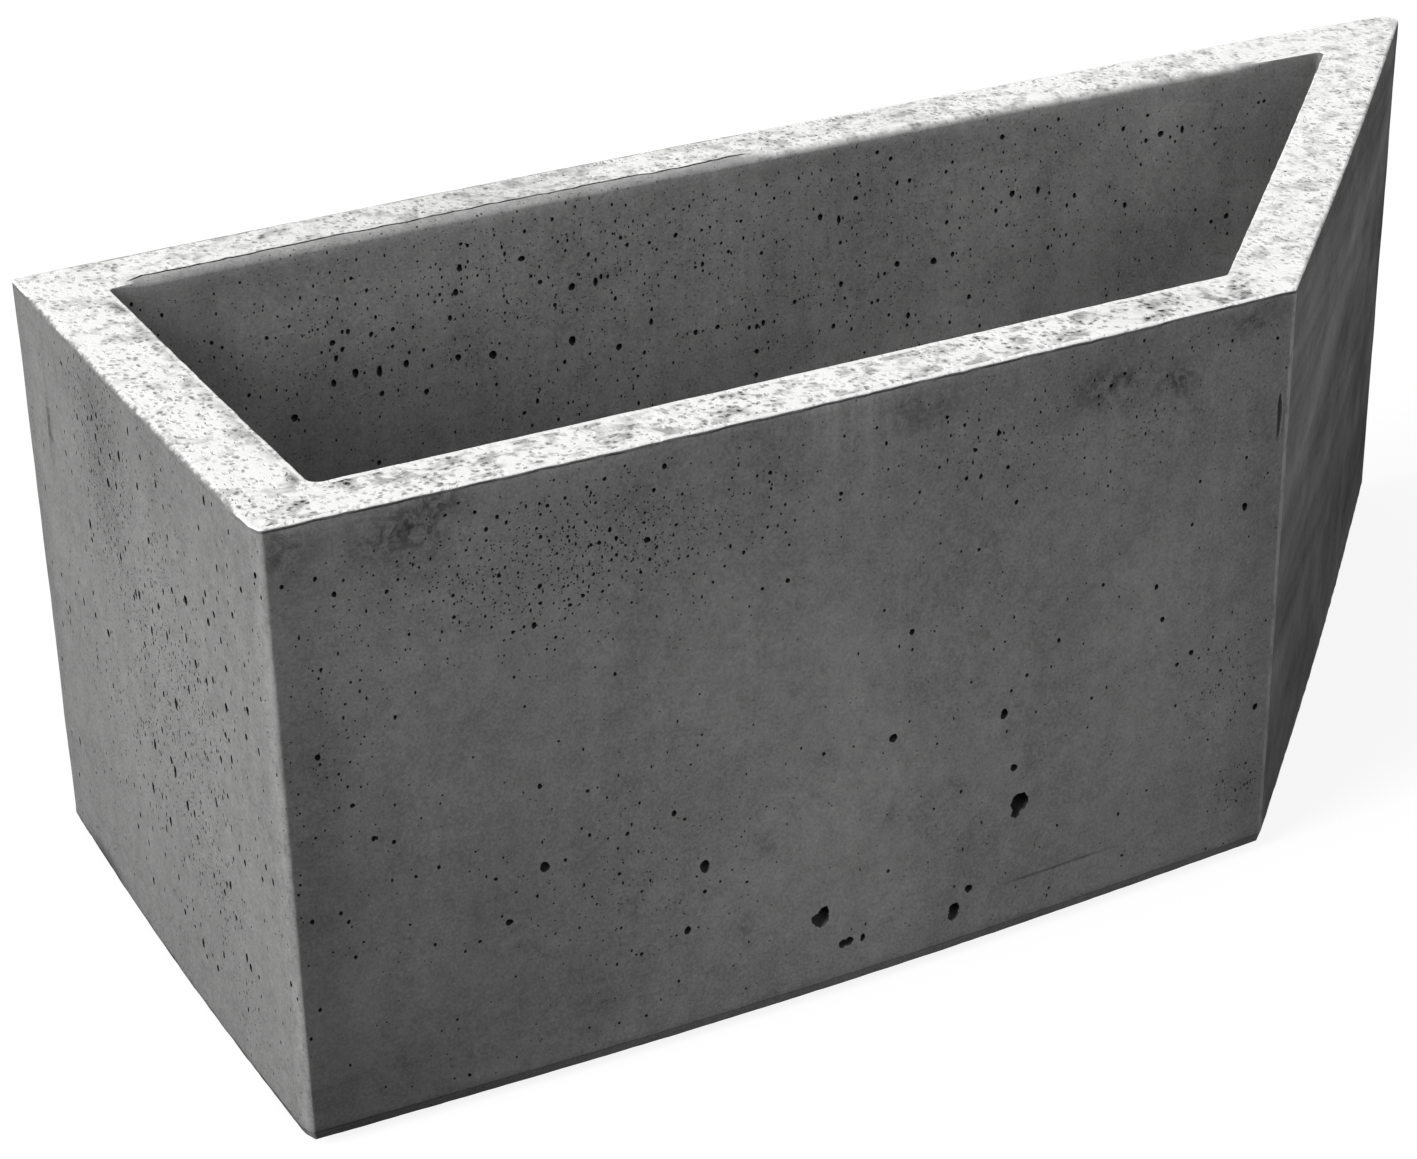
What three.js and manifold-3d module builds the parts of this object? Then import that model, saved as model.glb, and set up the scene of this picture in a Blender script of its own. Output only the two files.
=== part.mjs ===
// Concrete planter: an open trough whose right end is cut at 45 degrees in plan.
// Millimetres, +Z up. The origin is on the ground, at the centre of the outer box.
// The short front wall faces -Y, the long back wall +Y, and the square end is at -X.
// The trough is cast in two pours: a base slab with a ledge, and a ring of walls on the ledge.

import * as THREE from 'three';
import { mergeVertices } from 'three/addons/utils/BufferGeometryUtils.js';
import Module from 'manifold-3d';

const wasm = await Module();
wasm.setup();

// Trough
const BACK_LENGTH = 910;
const DEPTH = 350;
const CONCRETE_HEIGHT = 325;
const MITRE_ANGLE = THREE.MathUtils.degToRad(45);
const LEFT_WALL = 40;
const FRONT_WALL = 34;
const MITRE_WALL = 37;
const BACK_WALL = 40;
const FLOOR_THICKNESS = 40;
const SEAM_HEIGHT = 26;
const BOTTOM_CHAMFER = 5;

// Upright corners, seen in plan
const FRONT_LEFT_RADIUS = 5;
const FRONT_RIGHT_RADIUS = 4;
const BACK_RIGHT_RADIUS = 9;
const BACK_LEFT_RADIUS = 3;
const INNER_FRONT_RADIUS = 6;
const INNER_BACK_RADIUS = 3;

// Steel bars
const BAR_DIAMETER = 6;
const BAR_BEND_RADIUS = 18;
const BAR_CLEARANCE = 0.4;
const BOTTOM_COVER = 12;
const TOP_COVER = 15;
const LOW_HOOP_HEIGHT = 60;
const TOP_HOOP_DEPTH = 35;
const HOOP_LAP = 80;
const HOOP_JOG = 24;
const CROSS_BAR_SHARES = [0.13, 0.29, 0.45, 0.61, 0.79];
const LONG_BAR_SHARES = [0.33, 0.67];

// Drains
const SLEEVE_DIAMETER = 32;
const SLEEVE_WALL = 2;
const SLEEVE_RIB_DIAMETER = 40;
const SLEEVE_RIB_THICKNESS = 3;
const PLUG_FLANGE_DIAMETER = 38;
const PLUG_FLANGE_THICKNESS = 4;
const PLUG_SHANK_LENGTH = 16;
const PLUG_TAPER = 1.2;
const PLUG_NECK_DIAMETER = 9;
const PLUG_NECK_HEIGHT = 3;
const PLUG_GRIP_DIAMETER = 15;
const PLUG_GRIP_HEIGHT = 6;
const PLUG_BEVEL = 1;

// Feet
const FOOT_DIAMETER = 45;
const FOOT_HEIGHT = 5;
const FOOT_INSET = 55;
const FOOT_BEVEL = 1;

// Fits, and the overrun of a cutting solid
const FIT_GAP = 0.3;
const OVERRUN = 10;

// Counts of facets
const CORNER_STEPS = 6;
const BEND_STEPS = 4;
const BAR_SIDES = 8;
const ROUND_SIDES = 24;

const WALLS = { left: LEFT_WALL, front: FRONT_WALL, mitre: MITRE_WALL, back: BACK_WALL };
const FRONT_RIGHT_X = BACK_LENGTH / 2 - DEPTH / Math.tan(MITRE_ANGLE);

const concreteLook = { roughness: 0.9, metalness: 0 };
const wallConcrete = new THREE.MeshStandardMaterial({ color: 0x6e6e6d, ...concreteLook });
const baseConcrete = new THREE.MeshStandardMaterial({ color: 0x636362, ...concreteLook });
const steel = new THREE.MeshStandardMaterial({ color: 0x6b5a4e, roughness: 0.6, metalness: 0.8 });
const greyPlastic = new THREE.MeshStandardMaterial({ color: 0x8f9294, roughness: 0.5, metalness: 0 });
const blackRubber = new THREE.MeshStandardMaterial({ color: 0x1e1e1f, roughness: 0.8, metalness: 0 });

// Solids for joining and cutting

function toSolid(geometry) {
  const bare = geometry.index ? geometry.toNonIndexed() : geometry.clone();
  bare.deleteAttribute('normal');
  bare.deleteAttribute('uv');
  const merged = mergeVertices(bare);
  return new wasm.Manifold(new wasm.Mesh({
    numProp: 3,
    vertProperties: new Float32Array(merged.attributes.position.array),
    triVerts: new Uint32Array(merged.index.array),
  }));
}

function toGeometry(solid) {
  const { vertProperties, triVerts } = solid.getMesh();
  const geometry = new THREE.BufferGeometry();
  geometry.setAttribute('position', new THREE.BufferAttribute(new Float32Array(vertProperties), 3));
  geometry.setIndex(new THREE.BufferAttribute(new Uint32Array(triVerts), 1));
  geometry.computeVertexNormals();
  return geometry;
}

function joinAll(geometries) {
  return geometries.map(toSolid).reduce((whole, next) => whole.add(next));
}

// Plan of the trough

function mitreX(y, inset) {
  const along = (y + DEPTH / 2) / Math.tan(MITRE_ANGLE);
  return FRONT_RIGHT_X + along - inset / Math.sin(MITRE_ANGLE);
}

function mitreY(x, inset) {
  const across = x - FRONT_RIGHT_X + inset / Math.sin(MITRE_ANGLE);
  return across * Math.tan(MITRE_ANGLE) - DEPTH / 2;
}

// The four corners, each side drawn in by what the rule says for its wall:
// front left, front right, back right, back left
function planCorners(rule) {
  const leftX = -BACK_LENGTH / 2 + rule(WALLS.left);
  const frontY = -DEPTH / 2 + rule(WALLS.front);
  const backY = DEPTH / 2 - rule(WALLS.back);
  const mitreInset = rule(WALLS.mitre);
  return [
    new THREE.Vector2(leftX, frontY),
    new THREE.Vector2(mitreX(frontY, mitreInset), frontY),
    new THREE.Vector2(mitreX(backY, mitreInset), backY),
    new THREE.Vector2(leftX, backY),
  ];
}

// Points of the arc that rounds a left-hand turn
function roundCorner(before, corner, after, radius, steps) {
  const toBefore = before.clone().sub(corner).normalize();
  const toAfter = after.clone().sub(corner).normalize();
  const halfAngle = Math.acos(toBefore.dot(toAfter)) / 2;
  const start = toBefore.clone().multiplyScalar(radius / Math.tan(halfAngle)).add(corner);
  const bisector = toBefore.clone().add(toAfter).normalize();
  const centre = bisector.multiplyScalar(radius / Math.sin(halfAngle)).add(corner);
  const turn = Math.PI - 2 * halfAngle;
  return Array.from({ length: steps + 1 }, (_, step) =>
    start.clone().rotateAround(centre, turn * step / steps));
}

function roundedOutline(corners, radii) {
  const count = corners.length;
  return corners.flatMap((corner, index) => {
    const before = corners[(index + count - 1) % count];
    const after = corners[(index + 1) % count];
    return roundCorner(before, corner, after, radii[index], CORNER_STEPS);
  });
}

const outerRadii = [FRONT_LEFT_RADIUS, FRONT_RIGHT_RADIUS, BACK_RIGHT_RADIUS, BACK_LEFT_RADIUS];
const innerRadii = [INNER_FRONT_RADIUS, INNER_FRONT_RADIUS, INNER_BACK_RADIUS, INNER_BACK_RADIUS];
const outerCorners = planCorners(() => 0);
const outerOutline = roundedOutline(outerCorners, outerRadii);
const hollowOutline = roundedOutline(planCorners(wall => wall), innerRadii);
const floorOutline = roundedOutline(planCorners(wall => wall + FIT_GAP), innerRadii);

function uprightBlock(outline, fromZ, toZ, holes = []) {
  const shape = new THREE.Shape(outline);
  shape.holes = holes.map(hole => new THREE.Path(hole));
  const block = new THREE.ExtrudeGeometry(shape, { depth: toZ - fromZ, bevelEnabled: false });
  return block.translate(0, 0, fromZ);
}

// A square prism turned on its edge, which cuts the chamfer along one bottom edge
function chamferCutter(from, to) {
  const length = from.distanceTo(to) + 2 * OVERRUN;
  const side = BOTTOM_CHAMFER * Math.SQRT2;
  const cutter = new THREE.BoxGeometry(length, side, side);
  const heading = Math.atan2(to.y - from.y, to.x - from.x);
  cutter.rotateX(Math.PI / 4).rotateZ(heading);
  return cutter.translate((from.x + to.x) / 2, (from.y + to.y) / 2, 0);
}

// Bars: an eight-sided section carried through a list of stations

class StationPath extends THREE.Curve {
  constructor(stations) {
    super();
    this.stations = stations;
  }

  indexAt(share) {
    return Math.round(share * (this.stations.length - 1));
  }

  getPointAt(share) {
    return this.stations[this.indexAt(share)].clone();
  }

  getTangentAt(share) {
    const index = this.indexAt(share);
    const here = this.stations[index];
    const before = this.stations[index - 1] ?? here;
    const after = this.stations[index + 1] ?? here;
    const arriving = here.clone().sub(before).normalize();
    const leaving = after.clone().sub(here).normalize();
    return arriving.add(leaving).normalize();
  }
}

function rodGeometry(stations, radius) {
  const section = Array.from({ length: BAR_SIDES }, (_, side) => {
    const angle = (side + 1 / 2) * 2 * Math.PI / BAR_SIDES;
    return new THREE.Vector2(radius * Math.cos(angle), radius * Math.sin(angle));
  });
  const path = new StationPath(stations);
  return new THREE.ExtrudeGeometry(new THREE.Shape(section), {
    steps: stations.length - 1,
    extrudePath: path,
  });
}

function lengthened(stations, extra) {
  const path = new StationPath(stations);
  const start = path.getPointAt(0).sub(path.getTangentAt(0).multiplyScalar(extra));
  const end = path.getPointAt(1).add(path.getTangentAt(1).multiplyScalar(extra));
  return [start, ...stations.slice(1, -1), end];
}

function bentLine(corners) {
  const bends = corners.slice(1, -1).flatMap((corner, index) =>
    roundCorner(corners[index], corner, corners[index + 2], BAR_BEND_RADIUS, BEND_STEPS));
  return [corners[0], ...bends, corners[corners.length - 1]];
}

const barGap = BAR_DIAMETER / 2;
const hoopCorners = planCorners(wall => wall / 2 - barGap);
const legCorners = planCorners(wall => wall / 2 + barGap);
const [legFrontLeft, , legBackRight, legBackLeft] = legCorners;
const legMitreInset = WALLS.mitre / 2 + barGap;
const legTop = CONCRETE_HEIGHT - TOP_COVER;
const crossBarZ = BOTTOM_COVER + barGap;
const longBarZ = crossBarZ + BAR_DIAMETER;

function shareBetween(low, high, share) {
  return low + (high - low) * share;
}

const crossBarXs = CROSS_BAR_SHARES.map(share => shareBetween(legBackLeft.x, legBackRight.x, share));
const longBarYs = LONG_BAR_SHARES.map(share => shareBetween(legFrontLeft.y, legBackLeft.y, share));

// A U with its legs up, in a plane where u runs level
function uBarLine(fromU, toU, lowZ) {
  return bentLine([
    new THREE.Vector2(fromU, legTop),
    new THREE.Vector2(fromU, lowZ),
    new THREE.Vector2(toU, lowZ),
    new THREE.Vector2(toU, legTop),
  ]);
}

function crossBar(x, index) {
  const frontY = Math.max(legFrontLeft.y, mitreY(x, legMitreInset));
  const line = uBarLine(frontY, legBackLeft.y, crossBarZ);
  return {
    name: `cross_bar_${index + 1}`,
    stations: line.map(point => new THREE.Vector3(0, point.x, point.y)),
    place: new THREE.Vector3(x, 0, 0),
  };
}

function longBar(y, index) {
  const line = uBarLine(legFrontLeft.x, mitreX(y, legMitreInset), longBarZ);
  return {
    name: ['long_bar_front', 'long_bar_back'][index],
    stations: line.map(point => new THREE.Vector3(point.x, 0, point.y)),
    place: new THREE.Vector3(0, y, 0),
  };
}

// A hoop starts in the back wall, goes round, and ends above its own start
function hoop(name, height) {
  const [frontLeft, frontRight, backRight, backLeft] = hoopCorners;
  const lapMiddle = (crossBarXs[2] + crossBarXs[3]) / 2;
  const start = new THREE.Vector2(lapMiddle + HOOP_LAP / 2, backLeft.y);
  const jogEnd = new THREE.Vector2(start.x + BAR_DIAMETER, backLeft.y);
  const jogStart = new THREE.Vector2(jogEnd.x + HOOP_JOG, backLeft.y);
  const end = new THREE.Vector2(lapMiddle - HOOP_LAP / 2, backLeft.y);
  const round = bentLine([start, backLeft, frontLeft, frontRight, backRight, jogStart]);
  return {
    name,
    stations: [
      ...round.map(point => new THREE.Vector3(point.x, point.y, 0)),
      new THREE.Vector3(jogEnd.x, jogEnd.y, BAR_DIAMETER),
      new THREE.Vector3(end.x, end.y, BAR_DIAMETER),
    ],
    place: new THREE.Vector3(0, 0, height),
  };
}

const topHoopHeight = CONCRETE_HEIGHT - TOP_HOOP_DEPTH;
const hoops = ['hoop_low', 'hoop_mid', 'hoop_top'].map((name, index, names) =>
  hoop(name, shareBetween(LOW_HOOP_HEIGHT, topHoopHeight, index / (names.length - 1))));
const bars = [...hoops, ...crossBarXs.map(crossBar), ...longBarYs.map(longBar)];

function barChannel({ stations, place }) {
  const channel = rodGeometry(lengthened(stations, BAR_CLEARANCE), BAR_DIAMETER / 2 + BAR_CLEARANCE);
  return channel.translate(place.x, place.y, place.z);
}

// Turned pieces: a profile of radius and height, spun about Z

function turned(profile) {
  const points = profile.map(([radius, height]) => new THREE.Vector2(radius, height));
  return new THREE.LatheGeometry(points, ROUND_SIDES).rotateX(Math.PI / 2);
}

// Drains

const sleeveRadius = SLEEVE_DIAMETER / 2;
const sleeveBore = sleeveRadius - SLEEVE_WALL;
const ribLow = (FLOOR_THICKNESS - SLEEVE_RIB_THICKNESS) / 2;
const ribHigh = ribLow + SLEEVE_RIB_THICKNESS;
const drainY = (longBarYs[0] + longBarYs[1]) / 2;
const drains = [
  { side: 'left', x: (crossBarXs[0] + crossBarXs[1]) / 2 },
  { side: 'right', x: (crossBarXs[2] + crossBarXs[3]) / 2 },
];

function sleeveGeometry() {
  const ribRadius = SLEEVE_RIB_DIAMETER / 2;
  return turned([
    [sleeveBore, 0],
    [sleeveRadius, 0],
    [sleeveRadius, ribLow],
    [ribRadius, ribLow],
    [ribRadius, ribHigh],
    [sleeveRadius, ribHigh],
    [sleeveRadius, FLOOR_THICKNESS],
    [sleeveBore, FLOOR_THICKNESS],
    [sleeveBore, 0],
  ]);
}

function sleevePocket(x) {
  const radius = sleeveRadius + FIT_GAP;
  const ribRadius = SLEEVE_RIB_DIAMETER / 2 + FIT_GAP;
  const pocket = turned([
    [0, -OVERRUN],
    [radius, -OVERRUN],
    [radius, ribLow - FIT_GAP],
    [ribRadius, ribLow - FIT_GAP],
    [ribRadius, ribHigh + FIT_GAP],
    [radius, ribHigh + FIT_GAP],
    [radius, FLOOR_THICKNESS + OVERRUN],
    [0, FLOOR_THICKNESS + OVERRUN],
  ]);
  return pocket.translate(x, drainY, 0);
}

function plugGeometry() {
  const shankRadius = sleeveBore - FIT_GAP;
  const tipRadius = shankRadius - PLUG_TAPER;
  const flangeRadius = PLUG_FLANGE_DIAMETER / 2;
  const neckRadius = PLUG_NECK_DIAMETER / 2;
  const gripRadius = PLUG_GRIP_DIAMETER / 2;
  const gripLow = PLUG_FLANGE_THICKNESS + PLUG_NECK_HEIGHT;
  const gripHigh = gripLow + PLUG_GRIP_HEIGHT;
  return turned([
    [0, -PLUG_SHANK_LENGTH],
    [tipRadius - PLUG_BEVEL, -PLUG_SHANK_LENGTH],
    [tipRadius, PLUG_BEVEL - PLUG_SHANK_LENGTH],
    [shankRadius, 0],
    [flangeRadius - PLUG_BEVEL, 0],
    [flangeRadius, PLUG_BEVEL],
    [flangeRadius, PLUG_FLANGE_THICKNESS - PLUG_BEVEL],
    [flangeRadius - PLUG_BEVEL, PLUG_FLANGE_THICKNESS],
    [neckRadius, PLUG_FLANGE_THICKNESS],
    [neckRadius, gripLow],
    [gripRadius - PLUG_BEVEL, gripLow],
    [gripRadius, gripLow + PLUG_BEVEL],
    [gripRadius, gripHigh - PLUG_BEVEL],
    [gripRadius - PLUG_BEVEL, gripHigh],
    [0, gripHigh],
  ]);
}

// Feet

function footGeometry() {
  const radius = FOOT_DIAMETER / 2;
  return turned([
    [0, 0],
    [radius - FOOT_BEVEL, 0],
    [radius, FOOT_BEVEL],
    [radius, FOOT_HEIGHT],
    [0, FOOT_HEIGHT],
  ]);
}

function footPlaces() {
  const [frontLeft, frontRight, backRight, backLeft] = planCorners(() => FOOT_INSET);
  const backMiddle = backLeft.clone().add(backRight).multiplyScalar(1 / 2);
  return {
    front_left: frontLeft,
    front_right: frontRight,
    back_left: backLeft,
    back_middle: backMiddle,
    back_right: backRight,
  };
}

// Concrete, cut by everything cast into it

const channels = joinAll(bars.map(barChannel));

function wallRing() {
  const ring = toSolid(uprightBlock(outerOutline, SEAM_HEIGHT, CONCRETE_HEIGHT, [hollowOutline]));
  return toGeometry(ring.subtract(channels));
}

function baseSlab() {
  const ledge = toSolid(uprightBlock(outerOutline, 0, SEAM_HEIGHT));
  const floor = toSolid(uprightBlock(floorOutline, 0, FLOOR_THICKNESS));
  const edges = outerCorners.map((corner, index) =>
    chamferCutter(corner, outerCorners[(index + 1) % outerCorners.length]));
  const pockets = drains.map(drain => sleevePocket(drain.x));
  return toGeometry(ledge.add(floor).subtract(joinAll([...edges, ...pockets])).subtract(channels));
}

// Assembly

function piece(name, geometry, material, place = new THREE.Vector3()) {
  const mesh = new THREE.Mesh(geometry, material);
  mesh.name = name;
  mesh.position.copy(place);
  return mesh;
}

const trough = new THREE.Group();
trough.position.z = FOOT_HEIGHT;
trough.add(piece('base_slab', baseSlab(), baseConcrete));
trough.add(piece('wall_ring', wallRing(), wallConcrete));
for (const bar of bars) {
  trough.add(piece(bar.name, rodGeometry(bar.stations, BAR_DIAMETER / 2), steel, bar.place));
}
for (const drain of drains) {
  const foot = new THREE.Vector3(drain.x, drainY, 0);
  const seat = new THREE.Vector3(drain.x, drainY, FLOOR_THICKNESS + FIT_GAP);
  trough.add(piece(`drain_sleeve_${drain.side}`, sleeveGeometry(), greyPlastic, foot));
  trough.add(piece(`drain_plug_${drain.side}`, plugGeometry(), blackRubber, seat));
}

const outerXs = outerOutline.map(point => point.x);
const middleX = (Math.min(...outerXs) + Math.max(...outerXs)) / 2;
const planter = new THREE.Group();
planter.position.x = -middleX;
planter.add(trough);
for (const [corner, place] of Object.entries(footPlaces())) {
  planter.add(piece(`foot_${corner}`, footGeometry(), blackRubber, new THREE.Vector3(place.x, place.y, 0)));
}

export default planter;
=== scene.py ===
import math
import random

import bpy
import numpy as np
from mathutils import Matrix, Vector, noise
from mathutils.geometry import delaunay_2d_cdt


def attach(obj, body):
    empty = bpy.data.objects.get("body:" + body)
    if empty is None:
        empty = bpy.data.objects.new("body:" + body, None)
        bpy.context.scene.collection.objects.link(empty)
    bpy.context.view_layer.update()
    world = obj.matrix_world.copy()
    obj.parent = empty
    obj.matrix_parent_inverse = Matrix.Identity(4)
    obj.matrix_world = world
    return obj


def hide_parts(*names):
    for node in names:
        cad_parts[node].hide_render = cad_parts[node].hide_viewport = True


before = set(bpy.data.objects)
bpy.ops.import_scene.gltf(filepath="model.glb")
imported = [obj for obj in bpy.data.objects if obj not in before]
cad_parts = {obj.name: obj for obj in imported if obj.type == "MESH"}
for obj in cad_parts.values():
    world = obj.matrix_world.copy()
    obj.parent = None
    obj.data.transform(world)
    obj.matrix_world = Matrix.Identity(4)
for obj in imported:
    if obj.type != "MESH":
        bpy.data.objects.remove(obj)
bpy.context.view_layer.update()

# Lengths are in mm up to the making of a mesh. Positions are in the part's frame:
# the long back wall faces +Y, the short front wall -Y, the square end -X, and +Z is up.
MM = 0.001
SEED = 7275

# Camera, from a pinhole fit to the twelve corners of the trough in the photograph
CAMERA_TARGET = Vector((-0.106244, 0.055633, 0.121139))
CAMERA_DISTANCE = 1.82353
CAMERA_AZIMUTH = math.radians(-27.638)
CAMERA_ELEVATION = math.radians(26.500)
CAMERA_ROLL = math.radians(-1.158)
CAMERA_LENS = 82.47

# Plan of the concrete: corners anticlockwise from the front left, each with its rounding
OUTER_CORNERS = ((-448.636, -175.0, 1.8), (111.364, -175.0, 3.6),
                 (461.364, 175.0, 9.0), (-448.636, 175.0, 3.0))
INNER_CORNERS = ((-408.636, -141.0, 6.0), (93.038, -141.0, 6.0),
                 (369.038, 135.0, 3.0), (-408.636, 135.0, 3.0))
CORNER_STEPS = (4, 3, 8, 4)
WALLS = ("front", "mitre", "back", "left")
WALL_CELLS = (114, 94, 182, 72)
END_CELL = 0.8
SHARPEST = 0.6
# The fillet strip of the mould beside the front left corner: its depth and its reach
EASE, EASE_REACH = 2.4, 7.6

# Heights above the ground
BASE_LOW = 5.0
CHAMFER_HEIGHT, CHAMFER_INSET = 6.0, 2.0
SEAM, SEAM_HALF = 34.0, 1.2
FLOOR_TOP = 45.0
RIM_TOP = 330.0

# How far each wall bows out between its corners, as form boards do
OUTER_BOW = (3.6, 1.6, 4.4, 1.2)
INNER_BOW = (0.8, 0.6, 3.4, 0.6)
# and how much further they bulge at the bottom, where wet concrete pushes hardest
LOW_BULGE = (5.0, 0.8, 2.4, 2.0)
BULGE_FROM = 220.0
BACK_CROWN = 1.4

# Stretches of a wall: from and to which share of its length, and over what share each end eases
RAGGED = (0.03, 0.97, 0.05, 0.05)
SOFT = (0.50, 0.998, 0.02, 0.02)
LESS_SOFT = (0.04, 0.52, 0.04, 0.02)
DARK_SEAM = (0.69, 0.82, 0.03, 0.03)

# How strong the dark line under the rim, a shallow groove darkened by painted shade, is on each wall,
# and on the corners
LINE_UNDER_RIM = (0.65, 0.3, 0.6, 0.2, 0.4)
LINE_DEPTH, CRACK_DEPTH = 0.4, 0.7
# Rows of the line, as mm below the arris, and of the crack, as mm from the rim, each with its
# share of the depth
LINE_STEPS = ((1.3, 0.0), (0.85, 1.0), (0.5, 0.4))
CRACK_STEPS = ((0.0, 0.0), (0.5, 1.0), (2.0, 1.0), (2.6, 0.0))
ARRIS_ANGLES = [math.radians(a) for a in (0, 30, 60, 90)]
INNER_ANGLES = [math.radians(a) for a in (0, 18, 36, 54, 72, 90)]


# Rings of stations round the trough

def side(corners, k):
    """Where side k starts, its direction and its length, from corner k to the next."""
    start = np.array(corners[k][:2])
    reach = np.array(corners[(k + 1) % len(corners)][:2]) - start
    length = math.hypot(*reach)
    return start, reach / length, length


def drawn_in(corners, k, inset):
    """Corner k moved in by inset from both its sides, and the outward normals of these sides."""
    normals = [np.array((dy, -dx)) for _, (dx, dy), _ in (side(corners, k - 1), side(corners, k))]
    before, after = normals
    return np.array(corners[k][:2]) - inset * (before + after) / (1 + before @ after), before, after


def shares_with_ends(cells, end):
    """Shares of a length at which its stations lie: evenly, but for a short cell at each end."""
    return np.concatenate(([0.0], np.linspace(end, 1 - end, cells - 1), [1.0]))


wall_shares = [shares_with_ends(cells, END_CELL / side(OUTER_CORNERS, k)[2])
               for k, cells in enumerate(WALL_CELLS)]


def arc(corners, k):
    """Points and normals of the rounding of corner k."""
    radius, steps = corners[k][2], CORNER_STEPS[k]
    centre, before, after = drawn_in(corners, k, radius)
    start, turn = math.atan2(before[1], before[0]), math.acos(before @ after)
    angles = [start + turn * s / steps for s in range(steps + 1)]
    normals = [np.array((math.cos(a), math.sin(a))) for a in angles]
    return [(centre + radius * normal, normal) for normal in normals]


def ring(corners):
    """Points and normals of the stations: the rounding of each corner, then the side after it."""
    arcs = [arc(corners, k) for k in range(len(corners))]
    stations = []
    for k, here in enumerate(arcs):
        last, normal = here[-1]
        following = arcs[(k + 1) % len(arcs)][0][0]
        stations += here + [(last + (following - last) * share, normal) for share in wall_shares[k][1:-1]]
    points, normals = zip(*stations)
    return np.array(points), np.array(normals)


def shrunk(corners, inset):
    """The same outline drawn in by inset, its roundings as much tighter as they can be."""
    return tuple((*drawn_in(corners, k, inset)[0], max(SHARPEST, corner[2] - inset))
                 for k, corner in enumerate(corners))


def eased(corners):
    """Points of the stations, drawn in on the left face beside the front left corner."""
    x0, y0, _ = corners[0]
    points, _ = ring(corners)
    beside = np.clip(1 - (points[:, 1] - y0) / EASE_REACH, 0, 1)
    near = np.clip(1 - (points[:, 0] - x0) / (2 * EASE_REACH), 0, 1)
    points[:, 0] += EASE * beside * near
    return points


outer_points, outer_normals = eased(OUTER_CORNERS), ring(OUTER_CORNERS)[1]
inner_points, inner_normals = ring(INNER_CORNERS)
chamfer_points = eased(shrunk(OUTER_CORNERS, CHAMFER_INSET))
STATIONS = len(outer_points)
wall_start = [sum(CORNER_STEPS[:k + 1]) + sum(WALL_CELLS[:k]) for k in range(len(WALLS))]
along = np.zeros(STATIONS)
wall_of = np.full(STATIONS, -1)
for k, cells in enumerate(WALL_CELLS):
    stations = np.arange(wall_start[k], wall_start[k] + cells + 1) % STATIONS
    along[stations] = wall_shares[k]
    wall_of[stations] = k
arch = np.where(wall_of >= 0, np.sin(np.pi * along), 0.0)
outer_bow, inner_bow, low_bulge = (arch * np.array(by_wall)[wall_of]
                                   for by_wall in (OUTER_BOW, INNER_BOW, LOW_BULGE))


def on(wall):
    """True at the stations of the wall."""
    return wall_of == WALLS.index(wall)


def stretch(wall, start, end, ease_in, ease_out):
    """1 along a stretch of the wall, 0 beyond its eased ends."""
    return on(wall) * np.clip((along - start) / ease_in, 0, 1) * np.clip((end - along) / ease_out, 0, 1)


def wander(seed, scale, low, high):
    """A smooth random value for each station, between low and high, changing over scale mm."""
    offset = Vector((seed * 17.3, seed * 5.1, 0))
    waves = [noise.noise(Vector((x / scale, y / scale, 0)) + offset) for x, y in outer_points]
    return np.array([low + (high - low) * min(1, max(0, 0.5 + 0.9 * wave)) for wave in waves])


# How round the edges are, how far the soft inner edge reaches, how deep the lines are and how dirty
# the seam is
crown = arch * BACK_CROWN * on("back")
ragged_edge = stretch("left", *RAGGED) + 0.5 * stretch("mitre", *RAGGED)
soft_edge, less_soft = stretch("back", *SOFT), stretch("back", *LESS_SOFT)
outer_arris = wander(1, 9, 0.7, 1.4) + wander(2, 45, -0.1, 0.3) + wander(22, 11, 0.2, 2.2) * ragged_edge
inner_drop = wander(3, 12, 0.9, 1.6) + 2.2 * soft_edge + 2.4 * less_soft
soft_inset = wander(12, 60, 4.2, 6.4) + wander(23, 8, -0.2, 1.4)
inner_inset = wander(3, 12, 0.9, 1.6) + soft_inset * soft_edge + 5.5 * less_soft
line_depth = LINE_DEPTH * wander(13, 7, 0.0, 1.0) * np.array(LINE_UNDER_RIM)[wall_of]
crack_depth = CRACK_DEPTH * wander(14, 6, 0.2, 1.0) * soft_edge
seam_dark = stretch("front", *DARK_SEAM)
seam_depth = wander(4, 60, -0.1, 0.3).clip(0, 0.25) * (0.15 + 0.85 * seam_dark)
seam_dirt = wander(15, 9, 0.25, 0.65) * seam_dark + wander(16, 14, -0.15, 0.22).clip(0, 0.2)


# Rows of the section, each a ring of positions

def row_of(points, normals, out, z):
    """A row whose positions stand out by that many mm from the points, at the height z."""
    return np.column_stack((points + normals * out[:, None], np.broadcast_to(z, STATIONS)))


def bow_at(z):
    """How far the outer faces stand out at the height z."""
    return outer_bow + low_bulge * np.clip((BULGE_FROM - np.asarray(z)) / BULGE_FROM, 0, 1) ** 2


def outer_row(z, inset=0.0):
    return row_of(outer_points, outer_normals, bow_at(z) - inset, z)


def inner_row(z, inset=0.0):
    """inset is how far the row lies back from the hollow's face, into the concrete."""
    return row_of(inner_points, inner_normals, inner_bow + inset, z)


def roughen(rows, directions, amount, scale, seed, fades=None):
    """Moves the positions of the rows along the directions by smooth noise."""
    offset = Vector((seed * 3.7, seed * 11.9, seed * 7.7))
    for row, fade in zip(rows, fades or [1.0] * len(rows)):
        waves = np.array([noise.noise(Vector(place) / scale + offset) for place in row])
        row += directions * (waves * amount * fade)[:, None]


def flat(normals):
    return np.column_stack((normals, np.zeros(STATIONS)))


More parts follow.
